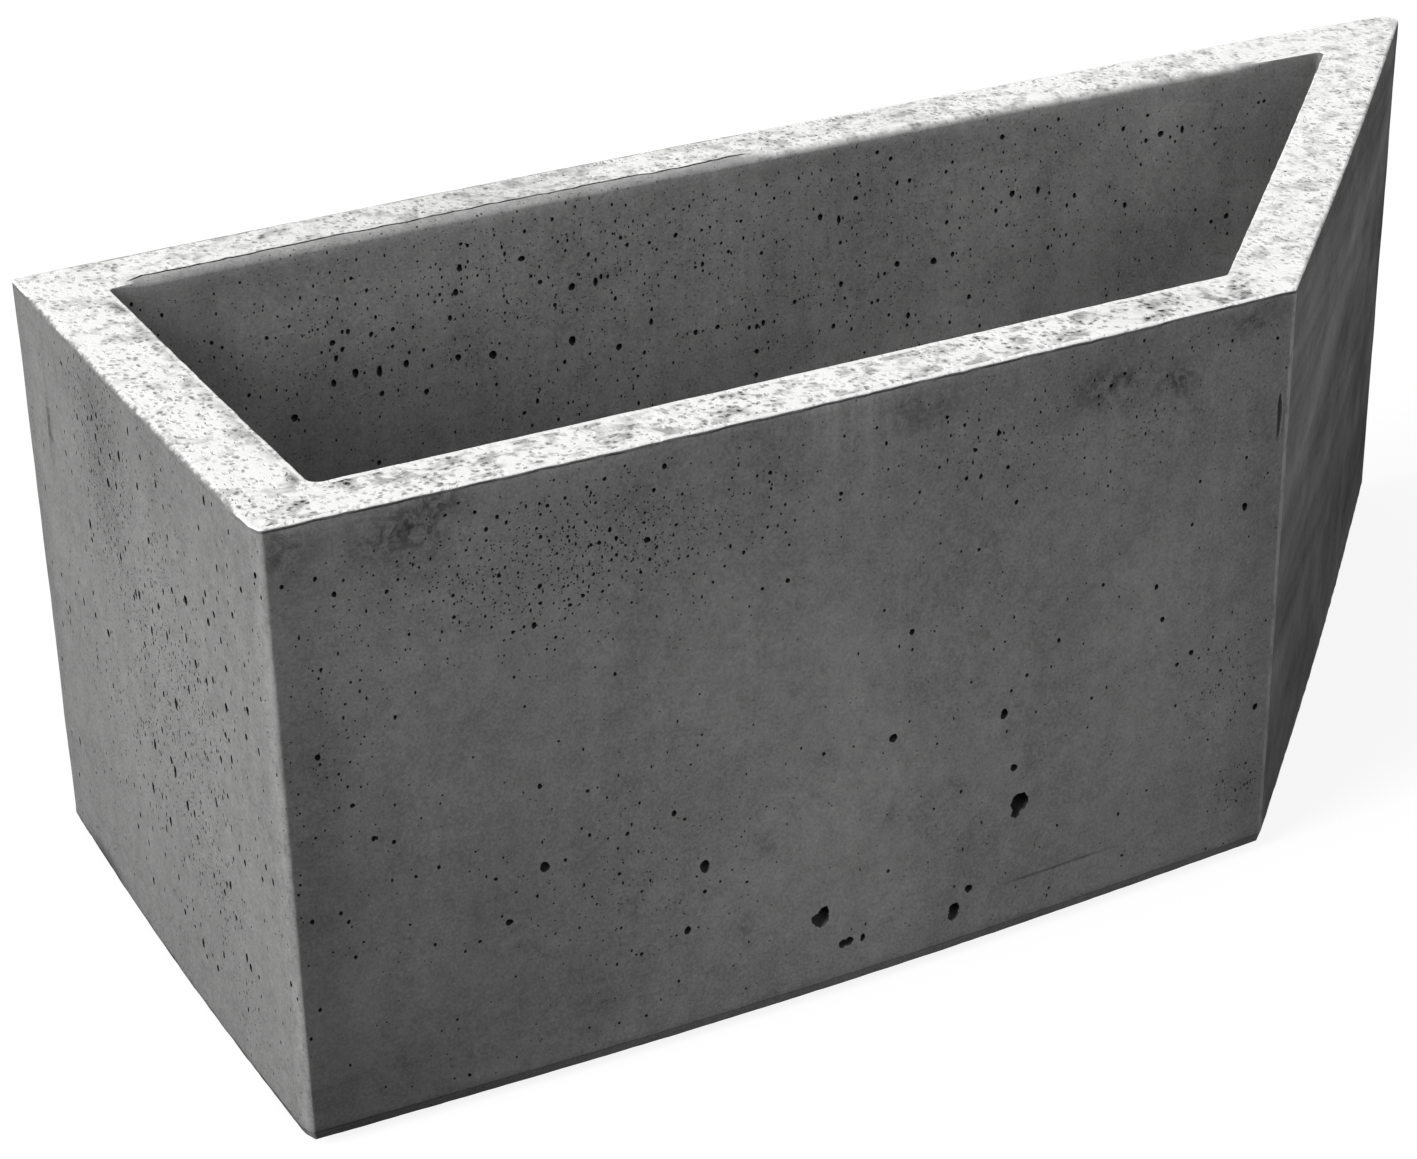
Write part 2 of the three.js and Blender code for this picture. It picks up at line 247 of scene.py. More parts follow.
UPWARD = np.tile(np.array((0.0, 0.0, 1.0)), (STATIONS, 1))
outer_flat, inner_flat = flat(outer_normals), flat(inner_normals)


def quads(low, high):
    """Faces between two closed loops of as many points."""
    following = list(range(1, len(low))) + [0]
    return [(low[k], low[n], high[n], high[k]) for k, n in enumerate(following)]


def circle(centre, radius, z, sides):
    """Points of a circle about an upright axis."""
    angles = [2 * math.pi * k / sides for k in range(sides)]
    return [(centre[0] + radius * math.cos(a), centre[1] + radius * math.sin(a), z) for a in angles]


def new_mesh(name, points, faces):
    """A mesh in metres from points in mm."""
    made = bpy.data.meshes.new(name)
    made.from_pydata((np.array(points) * MM).tolist(), [], faces)
    made.validate()
    return made


# Air holes

# How much darker the painted shade makes the roof of an air hole than its middle, and from what
# height on the larger share counts
ROOF_SHADE, LARGE_ROOF_SHADE, LARGE_HEIGHT = 0.25, 0.42, 6.5
# How uneven the mouth of a lobed hole is, and how much of a grid cell stays free beside a hole
RUGGED = 0.035
SPARE = 0.07


def uneven(angles, wobble, rng):
    """How far an uneven mouth reaches at each angle: up to 1, and less where it bends in."""
    swells = [(count, wobble * share * rng.uniform(0.5, 1.0), rng.uniform(0, 2 * math.pi))
              for count, share in ((2, 0.45), (3, 0.35), (5, 0.2))]
    return [1 - sum(size * (1 + math.sin(count * a + turn)) / 2 for count, size, turn in swells)
            for a in angles]


def lobed(angles, lobes, scale):
    """How far a mouth made of round lobes, each (across, up, radius), reaches at each angle."""
    reach = []
    for a in angles:
        far = 0.1
        for x, z, radius in lobes:
            ahead = x * math.cos(a) + z * math.sin(a)
            left = radius ** 2 - x ** 2 - z ** 2 + ahead ** 2
            if left > 0:
                far = max(far, ahead + math.sqrt(left))
        reach.append(far / scale * (1 + RUGGED * (math.sin(7 * a) + math.sin(11 * a + 2))))
    return reach


def kept_clear(at, half):
    """The middle of a hole that is half wide, moved off the borders of its cell if it is small."""
    if 2 * (half + SPARE) < 1:
        return min(max(at, int(at) + half + SPARE), int(at) + 1 - half - SPARE)
    return at


def cells_across(at, sizes):
    """The first and last grid line round a hole."""
    return math.floor(at + min(sizes) - SPARE / 2), math.ceil(at + max(sizes) + SPARE / 2)


class Shell:
    """A grid of rows and stations, closed round the trough, whose cells can give way to air holes."""

    def __init__(self, rows, closed):
        self.grid = np.array(rows)
        self.rows, self.stations = self.grid.shape[:2]
        self.cells = self.rows if closed else self.rows - 1
        self.points = [tuple(p) for p in self.grid.reshape(-1, 3)]
        self.taken = np.zeros((self.cells, self.stations), bool)
        self.faces = []
        self.fields = {}
        self.extra = {}

    def vertex(self, row, station):
        return (row % self.rows) * self.stations + station % self.stations

    def add_fields(self, **fields):
        for name, values in fields.items():
            self.fields[name] = values
            self.extra[name] = []

    def sample(self, field, row, station):
        r, s = int(row), int(station)
        a, b = row - r, station - s
        r1, s1 = (r + 1) % self.rows, (s + 1) % self.stations
        s %= self.stations
        low = field[r, s] * (1 - b) + field[r, s1] * b
        high = field[r1, s] * (1 - b) + field[r1, s1] * b
        return low * (1 - a) + high * a

    def add_point(self, position, row, station, pore):
        self.points.append(tuple(position))
        for name, field in self.fields.items():
            self.extra[name].append(pore if name == "pore" else float(self.sample(field, row, station)))
        return len(self.points) - 1

    def frame_at(self, row, station):
        """The outward normal of the cell and its size along the station and the row."""
        r, s = int(row), int(station) % self.stations
        across = self.grid[r, (s + 1) % self.stations] - self.grid[r, s]
        up = self.grid[(r + 1) % self.rows, s] - self.grid[r, s]
        normal = np.cross(across, up)
        return normal / np.linalg.norm(normal), np.linalg.norm(across), np.linalg.norm(up)

    def carve(self, bounds, row, station, width, height, bowl, sides, wobble, rng, lobes=None):
        """Cuts one air hole, and says False if it has no room. bounds is (first row, last row, first
        station, last station) of its face. bowl lists the rings below the mouth: share of the width,
        depth and how much painted shade darkens it."""
        row0, row1, station0, station1 = bounds
        if not (row0 < row < row1 and station0 < station < station1):
            return False
        normal, across, up = self.frame_at(row, station)
        half_r, half_s = height / 2 / up, width / 2 / across
        row, station = kept_clear(row, half_r), kept_clear(station, half_s)
        turn = rng.random() * 2 * math.pi / sides
        angles = [turn + 2 * math.pi * k / sides for k in range(sides)]
        reach = lobed(angles, lobes, width / 2) if lobes else uneven(angles, wobble, rng)
        r0, r1 = cells_across(row, [half_r * far * math.sin(a) for a, far in zip(angles, reach)])
        s0, s1 = cells_across(station, [half_s * far * math.cos(a) for a, far in zip(angles, reach)])
        if r0 < row0 or r1 > row1 or s0 < station0 or s1 > station1 or self.taken[r0:r1, s0:s1].any():
            return False
        self.taken[r0:r1, s0:s1] = True
        centre = self.sample(self.grid, row, station)
        rings = []
        roof = LARGE_ROOF_SHADE if height > LARGE_HEIGHT and lobes else ROOF_SHADE
        for share, depth, hollow_shade in ((1.0, 0.0, 0.0), *bowl):
            rings.append([])
            for angle, far in zip(angles, reach):
                r = row + half_r * share * far * math.sin(angle)
                s = station + half_s * share * far * math.cos(angle)
                place = self.sample(self.grid, r, s) - normal * depth
                # Painted shade inside the hole, darkest under its roof
                shade = 1 + roof * (place[2] - centre[2]) / (height / 2)
                rings[-1].append(self.add_point(place, r, s, min(1.0, hollow_shade * shade)))
        border = [(r0, s) for s in range(s0, s1)] + [(r, s1) for r in range(r0, r1)]
        border += [(r1, s) for s in range(s1, s0, -1)] + [(r, s0) for r in range(r1, r0, -1)]
        border_ids = [self.vertex(r, s) for r, s in border]
        border_angles = [math.atan2((r - row) * up, (s - station) * across) for r, s in border]
        mouth_angles = [math.atan2(half_r * up * math.sin(a) * f, half_s * across * math.cos(a) * f)
                        for a, f in zip(angles, reach)]
        self.faces += zip_loops(border_ids, border_angles, rings[0], mouth_angles)
        for outer, inner in zip(rings, rings[1:]):
            self.faces += quads(outer, inner)
        self.faces.append(tuple(rings[-1]))
        return True

    def mesh(self, name, more_faces=(), more_points=()):
        """The mesh, with each field as an attribute of its points."""
        faces = [tuple(self.vertex(r + a, s + b) for a, b in ((0, 0), (0, 1), (1, 1), (1, 0)))
                 for r, s in np.argwhere(~self.taken).tolist()]
        made = new_mesh(name, self.points + list(more_points), faces + self.faces + list(more_faces))
        for field, values in self.fields.items():
            numbers = list(values.reshape(-1)) + self.extra[field] + [0.0] * len(more_points)
            layer = made.attributes.new(field, "FLOAT", "POINT")
            layer.data.foreach_set("value", np.array(numbers, np.float32))
        return made


def zip_loops(outer, outer_angles, inner, inner_angles):
    """Triangles between two loops that both go anticlockwise round the same point."""
    def gap(angle):
        return (angle - inner_angles[0] + math.pi) % (2 * math.pi) - math.pi

    first = min(range(len(outer)), key=lambda k: abs(gap(outer_angles[k])))
    order = [(first + k) % len(outer) for k in range(len(outer))]
    start = gap(outer_angles[first])
    outer_turns = [start + (outer_angles[k] - outer_angles[first]) % (2 * math.pi) for k in order]
    outer_turns.append(start + 2 * math.pi)
    inner_turns = [(a - inner_angles[0]) % (2 * math.pi) for a in inner_angles] + [2 * math.pi]
    faces = []
    i = o = 0
    while i < len(inner) or o < len(outer):
        here_in, here_out = inner[i % len(inner)], outer[order[o % len(outer)]]
        if o == len(outer) or (i < len(inner) and inner_turns[i + 1] <= outer_turns[o + 1]):
            faces.append((inner[(i + 1) % len(inner)], here_in, here_out))
            i += 1
        else:
            faces.append((here_out, outer[order[(o + 1) % len(outer)]], here_in))
            o += 1
    return faces


# The ring of walls: up the outside, over the rim and down the inside

FACE_LOW, FACE_HIGH = SEAM + SEAM_HALF, 323.5
INNER_HIGH = 322.0
outer_heights = np.linspace(FACE_LOW, FACE_HIGH, 59)
inner_heights = np.linspace(INNER_HIGH, FLOOR_TOP, 56)
RIM_SHARES = np.concatenate(([0.0, 0.025, 0.06], np.linspace(0.18, 0.97, 7), [1.0]))
# Over what height above its foot a face becomes uneven
FADE_HEIGHT = 30.0


def face_rows(row_at, heights, foot, directions, *waves):
    """Rows of one face, made uneven by each of the waves: amount, scale and seed."""
    rows = [row_at(z) for z in heights]
    fades = [min(1.0, (z - foot) / FADE_HEIGHT) for z in heights]
    for wave in waves:
        roughen(rows, directions, *wave, fades)
    return rows


def rounded_rows(row_at, top, drop, inset, angles):
    """Rows of a rounded edge that is drop high and inset wide."""
    return [row_at(top - drop * (1 - math.sin(a)), inset * (1 - math.cos(a))) for a in angles]


def wall_rows():
    outside = face_rows(outer_row, outer_heights, FACE_LOW, outer_flat, (0.5, 70, 5), (0.16, 16, 6))
    inside = face_rows(inner_row, inner_heights, FLOOR_TOP, inner_flat, (0.5, 80, 11), (0.16, 18, 12))
    top = RIM_TOP + crown
    edge = [outer_row(top - outer_arris - below, line_depth * share) for below, share in LINE_STEPS]
    edge += rounded_rows(outer_row, top, outer_arris, outer_arris, ARRIS_ANGLES)
    roughen(edge, outer_flat, 0.16, 7, 7)
    inner_edge = [inner_row(top - crack_depth * share, inner_inset + CRACK_STEPS[-1][0] - at)
                  for at, share in CRACK_STEPS]
    inner_edge += rounded_rows(inner_row, top, inner_drop, inner_inset, INNER_ANGLES[::-1])
    roughen(inner_edge, inner_flat, 0.2, 8, 8)
    first, last = edge[-1], inner_edge[0]
    across = [first + (last - first) * share for share in RIM_SHARES[1:-1]]
    roughen(across, UPWARD, 0.55, 24, 9)
    roughen(across, UPWARD, 0.3, 7, 10)
    return [outer_row(SEAM, seam_depth), *outside, *edge, *across, *inner_edge, *inside, inner_row(SEAM)]


# First and last row of each part of the section
OUTER_FIRST = 1
LINE_FIRST = OUTER_FIRST + len(outer_heights)
ARRIS_FIRST = LINE_FIRST + len(LINE_STEPS)
RIM_FIRST = ARRIS_FIRST + len(ARRIS_ANGLES) - 1
RIM_LAST = RIM_FIRST + len(RIM_SHARES) - 1
CRACK_LAST = RIM_LAST + len(CRACK_STEPS) - 1
INNER_ARRIS_FIRST = CRACK_LAST + 1
INNER_FIRST = INNER_ARRIS_FIRST + len(INNER_ANGLES)


def wall_bounds(wall, first, last):
    """The rows from first to last on one wall, and its first and last station."""
    k = WALLS.index(wall)
    return first, last, wall_start[k], wall_start[k] + WALL_CELLS[k]


class Face:
    """One face of a wall, on which a place is given in mm along it and above the ground."""

    def __init__(self, wall, inside, first_row, heights):
        self.k = WALLS.index(wall)
        corners, points = (INNER_CORNERS, inner_points) if inside else (OUTER_CORNERS, outer_points)
        self.length = side(corners, self.k)[2]
        self.first_row, self.heights = first_row, heights
        self.bounds = wall_bounds(wall, first_row, first_row + len(heights) - 1)
        self.span = min(heights), max(heights)
        (x0, y0), (x1, y1) = points[self.bounds[2]], points[self.bounds[3] % STATIONS]
        self.start = math.hypot(x0 - corners[self.k][0], y0 - corners[self.k][1])
        self.straight = math.hypot(x1 - x0, y1 - y0)

    def spot(self, u, z):
        """The bounds of the face, and the row and the station of the place."""
        rising = 1 if self.heights[-1] > self.heights[0] else -1
        row = np.interp(rising * z, rising * self.heights, range(len(self.heights)))
        shares = wall_shares[self.k]
        station = np.interp((u - self.start) / self.straight, shares, range(len(shares)))
        return self.bounds, self.first_row + float(row), self.bounds[2] + float(station)


# How far along and up the camera sees a place of the front move for each mm that the front bows
SIGHT_ALONG, SIGHT_UP = 0.30, 0.42


def on_front(u, z):
    """The place on the bowed front that the camera sees where (u, z) of a flat one would be."""
    low = max(0.0, (BULGE_FROM - z) / BULGE_FROM) ** 2
    bow = math.sin(math.pi * u / side(OUTER_CORNERS, 0)[2]) * (OUTER_BOW[0] + LOW_BULGE[0] * low)
    return u - SIGHT_ALONG * bow, z + SIGHT_UP * bow


def on_back_inside(x, z):
    return INNER_CORNERS[2][0] - x, z


# Air holes that stand out in the photograph, as mm along the face, height above the ground, width
# and, where it isn't drawn at random, how much taller than wide
FRONT_HOLES = (
    (369.5, 35.4, 5.6, 0.9), (216.8, 95.2, 6.4, 1.3), (131.4, 120.9, 6.2, 1.05), (389.8, 132.6, 5.6, 1.2),
    (323.9, 137.3, 5.4, 1.1), (396.3, 99.4, 4.8, 1.1), (208.7, 61.5, 4.2), (192.5, 278.1, 4.2, 0.9),
    (111.6, 94.6, 4.6, 0.9), (551, 92.3, 4), (504, 138.2, 3.8), (534.2, 214.2, 3.8, 1.5),
    (334.7, 194.2, 3.6), (200.5, 128.3, 3.6), (486.3, 162.6, 3.4), (133, 251.9, 3.4, 1.2),
    (24.2, 213.2, 3.4), (35.4, 289.6, 3.0), (481.6, 182.4, 3.1), (264.8, 240, 3.2), (134.1, 269.1, 2.9),
    (294, 279, 2.8), (45, 162.9, 3.0), (37.3, 183.7, 3.0), (372.8, 267.9, 2.6), (14, 126.8, 2.8),
    (114.4, 280.1, 2.6), (421.7, 168, 2.6), (403, 152.8, 2.6), (364.4, 272.2, 2.5), (283, 139, 2.5),
    (180, 56, 2.4),
)
# The largest, each a place and the round lobes that it is made of: across, up and radius
LOBED_HOLES = (
    (400.3, 76, ((0.2, 1.6, 5.6), (-2.2, -4.5, 2.9))),
    (282, 45.2, ((0, -1.0, 4.5), (1.3, 3.0, 3.3), (-2.9, 0.2, 3.1))),
)
BASE_LOBED_HOLES = (
    (296.2, 26.2, ((-2.0, -0.2, 2.5), (1.7, 0.2, 2.6))),
    (360.5, 24.4, ((-0.3, -2.0, 3.4), (0.3, 1.6, 3.4))),
)
# Long shallow chips beside an edge: place, width, how many times taller, depth and painted shade
FRONT_CHIPS = ((554.4, 261, 4.8, 6.8, 1.2, 0.62),)
BASE_FRONT_HOLES = (
    (305.8, 26.2, 3.4, 1.6), (86, 18, 2.4), (150, 22, 1.8), (420, 20, 2.0), (466, 26, 2.2), (238, 17, 1.6),
)
LEFT_HOLES = (
    (246, 251, 5.2, 1.3), (215, 181, 4.3, 1.8), (204, 137, 4.2, 1.8), (175, 138, 3.9, 1.9),
    (162, 108, 3.8, 2.0), (162, 293, 3.8, 1.8), (111, 173, 4.6, 1.3), (291, 215, 4.4, 1.2),
    (320, 227, 4.4, 1.2), (216, 125, 3.9, 1.7), (98, 230, 4.0, 1.6), (141, 270, 4.4, 1.3),
    (187, 101, 4.0, 1.7), (272, 108, 3.7, 1.7), (173, 222, 3.7, 1.6), (276, 253, 4.2, 1.3),
    (212, 217, 3.0, 2.0), (205, 229, 3.8, 1.4), (291, 72, 3.7, 1.5), (242, 44, 3.6, 1.4),
    (252, 220, 3.4, 1.9), (197, 262, 4.0, 1.3), (147, 232, 2.8, 1.9), (225, 248, 3.3, 1.4),
    (286, 198, 3.5, 1.3), (315, 211, 3.5, 1.3), (221, 156, 3.4, 1.3), (219, 300, 2.8, 2.1),
    (327, 291, 3.2, 1.3), (164, 215, 3.2, 1.3), (284, 261, 3.3, 1.3), (264, 217, 3.2, 1.6),
    (275, 180, 3.5, 1.3), (297, 134, 2.9, 1.6), (198, 305, 2.9, 1.4), (213, 239, 3.0, 1.3),
    (312, 272, 3.1, 1.4), (185, 177, 2.8, 1.6), (197, 178, 3.0, 1.5), (326, 149, 2.8, 1.4),
    (91, 187, 3.0, 1.1), (191, 222, 3.0, 1.4), (174, 195, 2.8, 1.6), (270, 204, 3.0, 1.3),
    (136, 77, 2.9, 1.4), (129, 66, 2.8, 1.5), (318, 139, 2.8, 1.4), (262, 99, 3.0, 1.5),
)
# On the inside of the back wall, with x in place of mm along the face
BACK_INSIDE_HOLES = (
    (-263, 252, 3.8, 2.3), (-195, 247, 5.4, 1.1), (-277, 254, 4.4, 1.5), (-146, 245, 5.4, 1.2),
    (91, 246, 5.2, 1.0), (-117, 235, 4.4, 1.2), (145, 278, 4.8, 1.0), (-145, 277, 4.8, 1.1),
    (-314, 236, 5.0, 1.0), (250, 297, 4.6, 1.1), (267, 297, 3.0, 2.1), (162, 277, 3.2, 1.9),
    (-130, 277, 3.2, 2.0), (-216, 250, 4.2, 1.1), (-247, 253, 3.8, 1.5), (66, 249, 4.2, 1.1),
    (25, 284, 3.0, 2.1), (-290, 251, 3.8, 1.3), (-175, 300, 5.2, 0.7), (28, 246, 3.8, 1.1),
    (-53, 234, 3.6, 1.0), (-236, 235, 3.8, 1.1), (137, 315, 4.0, 1.0), (38, 296, 4.0, 0.8),
    (302, 235, 4.0, 1.1), (-96, 246, 3.2, 1.5), (-289, 275, 3.8, 1.1), (-286, 265, 3.1, 1.5),
    (-219, 274, 3.2, 1.2), (-68, 232, 3.7, 1.1), (-266, 276, 3.2, 1.2), (238, 295, 3.0, 1.3),
    (75, 299, 3.1, 1.2), (134, 270, 3.0, 1.2), (-252, 275, 3.0, 1.1), (-280, 277, 3.0, 1.2),
    (-264, 238, 3.6, 1.1), (-163, 283, 3.4, 1.0), (-4, 240, 3.2, 1.2), (240, 311, 3.2, 0.8),
    (-325, 285, 3.0), (289, 233, 3.2), (-114, 300, 3), (-27, 212, 3.2), (-47, 277, 2.8), (279, 242, 2.8),
    (176, 318, 2.6), (-102, 227, 2.8), (-156, 268, 2.8), (102, 305, 2.6), (-337, 255, 2.8),
    (123, 285, 2.6), (-193, 229, 2.6), (-358, 288, 2.6), (60, 218, 2.6), (136, 292, 2.4), (219, 260, 2.4),
    (146, 245, 2.4),
)

# Small air holes scattered over each face: how many, their size and how much taller than wide, then
# patches where they gather, each with its middle, its spread along and up, and its share of the holes
SCATTER_OUTSIDE = {
    "front": (800, 1.10, (0.85, 1.35), (
        (150, 284, 54, 19, 0.55), (30, 215, 20, 60, 0.05), (175, 100, 35, 28, 0.05),
        (430, 290, 90, 25, 0.08), (523, 118, 16, 14, 0.03), (540, 44, 12, 12, 0.012))),
    "mitre": (90, 0.9, (1.0, 2.2), ((120, 240, 80, 60, 0.4),)),
    "back": (520, 1.2, (0.85, 1.5), ((250, 250, 130, 40, 0.4), (690, 150, 110, 80, 0.25))),
    "left": (460, 1.25, (1.1, 2.6), (
        (130, 282, 22, 30, 0.14), (265, 170, 55, 90, 0.34), (175, 120, 40, 60, 0.18))),
}
SCATTER_INSIDE = {
    "front": (120, 1.1, (0.85, 1.35), ((200, 220, 120, 60, 0.4),)),
    "mitre": (100, 1.1, (0.85, 1.35), ((200, 200, 90, 80, 0.4),)),
    "back": (580, 1.36, (0.9, 1.5), (
        (560, 300, 150, 24, 0.26), (420, 262, 300, 45, 0.46), (120, 290, 80, 22, 0.08),
        (380, 225, 90, 18, 0.08))),
    "left": (80, 1.1, (0.85, 1.35), ((140, 200, 80, 80, 0.4),)),
}
SCATTER_BASE = {wall: (count, 1.0, (0.8, 1.2), ())
                for wall, count in (("front", 16), ("left", 22), ("back", 34), ("mitre", 8))}
RIM_PITS = {"front": 330, "mitre": 330, "back": 560, "left": 320}

# Most of the small holes are about 1 mm wide, a few are 3: up to what draw, and the range of the width
HOLE_WIDTHS = ((0.62, 0.8, 1.2), (0.88, 1.2, 1.7), (0.98, 1.7, 2.3), (1.0, 2.3, 2.9))
# Rings below the mouth, as shares of its radius: how wide, how deep, and how much painted shade
# darkens it. A larger hole is a little wider under the mouth, as a trapped bubble is. That of a small
# one is given in shares of its width.
LARGE_BOWL = ((0.98, 0.04, 1.0), (1.03, 0.40, 1.0), (0.95, 0.90, 1.0), (0.66, 1.30, 1.0), (0.28, 1.50, 0.9))
SMALL_BOWL = ((0.94, 0.10, 1.0), (0.62, 1.4, 1.0))
SMALL_DEPTH = 0.55
# From what width on a hole is a bowl, is rounder, and has a little paler painted shade
BOWL_FROM, ROUND_FROM, PALER_FROM = 2.0, 3.8, 6
PALER = 0.94


def bowl_for(width):
    hollow_shade = 1.0 if width < PALER_FROM else PALER
    return [(share, depth * (width / 2), level * hollow_shade) for share, depth, level in LARGE_BOWL]


def cut_hole(shell, spot, width, rng, tall=1.0):
    if width < BOWL_FROM:
        bowl = [(share, width * SMALL_DEPTH * part, hollow_shade) for share, part, hollow_shade in SMALL_BOWL]
        return shell.carve(*spot, width, width * tall, bowl, 5, 0.12, rng)
    sides = 9 if width < ROUND_FROM else 18
    return shell.carve(*spot, width, width * tall, bowl_for(width), sides, 0.35, rng)


def cut_listed(shell, face, holes, rng, place=None, drawn=None):
    """Cuts the listed holes. drawn is the range of the height over the width where the list has none."""
    for u, z, width, *tall in holes:
        chance = rng.uniform(*drawn) if drawn else 1.0
        spot = face.spot(*place(u, z)) if place else face.spot(u, z)
        cut_hole(shell, spot, width, rng, tall[0] if tall else chance)


def cut_lobed(shell, face, holes, rng):
    for u, z, lobes in holes:
        width = 2 * max(math.hypot(x, z) + radius for x, z, radius in lobes)
        shell.carve(*face.spot(*on_front(u, z)), width, width, bowl_for(width), 36, 0, rng, lobes)


def scatter(shell, face, rng, count, size, tall, patches):
    """Cuts count small holes on one face, some of them gathered in the patches."""
    made = tries = 0
    while made < count and tries < count * 12:
        tries += 1
        pick = rng.random()
        u, z = rng.uniform(0, face.length), rng.uniform(*face.span)
        for middle_u, middle_z, spread_u, spread_z, share in patches:
            if pick < share:
                u, z = rng.gauss(middle_u, spread_u), rng.gauss(middle_z, spread_z)
                break
            pick -= share
        pick = rng.random()
        narrow, wide = next((low, high) for up_to, low, high in HOLE_WIDTHS if pick < up_to)
        width = rng.uniform(narrow, wide) * size
        if 0 < u < face.length and face.span[0] < z < face.span[1]:
            made += cut_hole(shell, face.spot(u, z), width, rng, rng.uniform(*tall))


def cut_wall_holes(shell):
    rng = random.Random(SEED)
    outside = {wall: Face(wall, False, OUTER_FIRST, outer_heights) for wall in SCATTER_OUTSIDE}
    inside = {wall: Face(wall, True, INNER_FIRST, inner_heights) for wall in SCATTER_INSIDE}
    front = outside["front"]
    cut_listed(shell, front, FRONT_HOLES, rng, on_front, (1.0, 1.3))
    cut_lobed(shell, front, LOBED_HOLES, rng)
    for u, z, width, tall, depth, hollow_shade in FRONT_CHIPS:
        bowl = ((0.8, 0.5 * depth, hollow_shade), (0.35, depth, hollow_shade))
        shell.carve(*front.spot(u, z), width, width * tall, bowl, 16, 0.5, rng)
    cut_listed(shell, outside["left"], LEFT_HOLES, rng)
    cut_listed(shell, inside["back"], BACK_INSIDE_HOLES, rng, on_back_inside, (0.95, 1.2))
    for faces, scattered in ((outside, SCATTER_OUTSIDE), (inside, SCATTER_INSIDE)):
        for wall, holes in scattered.items():
            scatter(shell, faces[wall], rng, *holes)
    # Shallow pits in the rim, each darkened inside by painted shade
    for wall, count in RIM_PITS.items():
        bounds = wall_bounds(wall, RIM_FIRST, RIM_LAST)
        for _ in range(count):
            row, station = rng.uniform(*bounds[:2]), rng.uniform(*bounds[2:])
            width = rng.uniform(1.8, 4.2)
            height, depth = width * rng.uniform(0.6, 1.0), rng.uniform(0.5, 1.2)
            shell.carve(bounds, row, station, width, height, ((0.45, depth, 1.0),), 6, 0.4, rng)


# Stains, wear, painted shade and highlights, and other fields that the concrete's look reads

# Darker and paler patches, as mm along the face, mm down from the top, reach in both, and how much
# darker. A paler patch has a minus sign.
PATCHES = {
    "front": (
        (57, 16, 13, 10, 0.34), (77, 16, 12, 13, 0.46), (70, 36, 18, 8, 0.16), (88, 6, 9, 6, 0.30),
        (445, 28, 20, 12, 0.42), (487, 34, 12, 9, 0.44), (338, 17, 20, 9, 0.26), (12, 12, 14, 13, 0.36),
        (182, 28, 20, 9, 0.16), (470, 14, 60, 20, 0.10), (10, 160, 22, 160, 0.26), (30, 310, 90, 44, 0.30),
        (552, 160, 14, 180, 0.22), (530, 11, 20, 8, 0.34), (98, 220, 8, 9, 0.22), (149, 214, 6, 7, 0.22),
        (174, 244, 6, 7, 0.20), (234, 272, 7, 7, 0.24), (360, 225, 5, 7, 0.22), (406, 224, 5, 7, 0.22),
        (318, 236, 4, 6, 0.26), (250, 232, 5, 8, 0.26), (283, 191, 5, 5, 0.24), (180, 274, 5, 5, 0.24),
        (549, 296, 12, 22, 0.10), (70, 250, 130, 100, 0.22), (480, 290, 120, 40, 0.12),
        (290, 190, 130, 100, -0.12), (280, 316, 220, 22, 0.04), (300, 12, 26, 16, -0.12),
        (250, 120, 120, 60, -0.04),
    ),
    "left": (
        (44, 66, 5, 16, 0.40), (130, 50, 22, 46, 0.18), (60, 318, 34, 5, 0.6), (8, 160, 10, 180, 0.15),
        (175, 22, 120, 18, 0.08), (200, 170, 110, 110, -0.07), (175, 320, 240, 110, 0.18),
    ),
    # Painted shade: the whole mitred face darker, most of all low down
    "mitre": (
        (440, 200, 150, 260, 0.24), (250, 330, 500, 170, 0.44), (250, 160, 900, 400, 0.31),
        (100, 70, 120, 80, -0.06),
    ),
    "back": (
        (200, 26, 18, 11, 0.36), (236, 40, 14, 10, 0.30), (640, 22, 20, 9, 0.30), (470, 160, 8, 9, 0.24),
        (330, 230, 7, 8, 0.22), (760, 200, 7, 7, 0.22), (60, 160, 60, 200, 0.14),
        (860, 300, 120, 60, 0.20), (450, 300, 420, 40, 0.14), (420, 130, 240, 90, -0.10),
        (700, 60, 120, 50, -0.06),
    ),
    # Painted light pales the upper inside of the back wall, and painted shade darkens it low down
    "back inside": (
        (305, 60, 60, 40, 0.14), (740, 60, 45, 120, 0.12), (420, 120, 120, 30, 0.10),
        (170, 100, 90, 30, 0.08), (60, 70, 50, 50, 0.12), (560, 30, 160, 30, -0.12),
        (400, 60, 800, 120, -0.26), (450, 215, 500, 70, 0.12),
    ),
}
# A patch with a wider reach than this is a smooth shade: some of these are stains, and some are
# painted shade and painted light, on the mitred face and inside the back wall. The others are mottled
# stains.
BROAD = 22
# Where pinholes gather: mm along the face, mm down, reach in both, and their share
PINS = {
    "front": (
        (150, 46, 60, 23, 0.60), (30, 100, 22, 80, 0.09), (175, 230, 50, 50, 0.08),
        (430, 40, 100, 30, 0.14), (523, 212, 18, 20, 0.40), (542, 286, 16, 16, 0.40),
        (400, 195, 60, 60, 0.03), (260, 160, 400, 400, 0.014),
    ),
    "left": ((130, 50, 30, 46, 0.40), (250, 150, 100, 120, 0.14), (175, 165, 300, 300, 0.05)),
    "back": ((230, 80, 110, 40, 0.40), (690, 180, 80, 70, 0.16), (450, 160, 900, 400, 0.02)),
    "mitre": ((250, 160, 300, 300, 0.04),),
    "back inside": ((400, 60, 420, 90, 0.15), (600, 50, 190, 60, 0.10)),
}
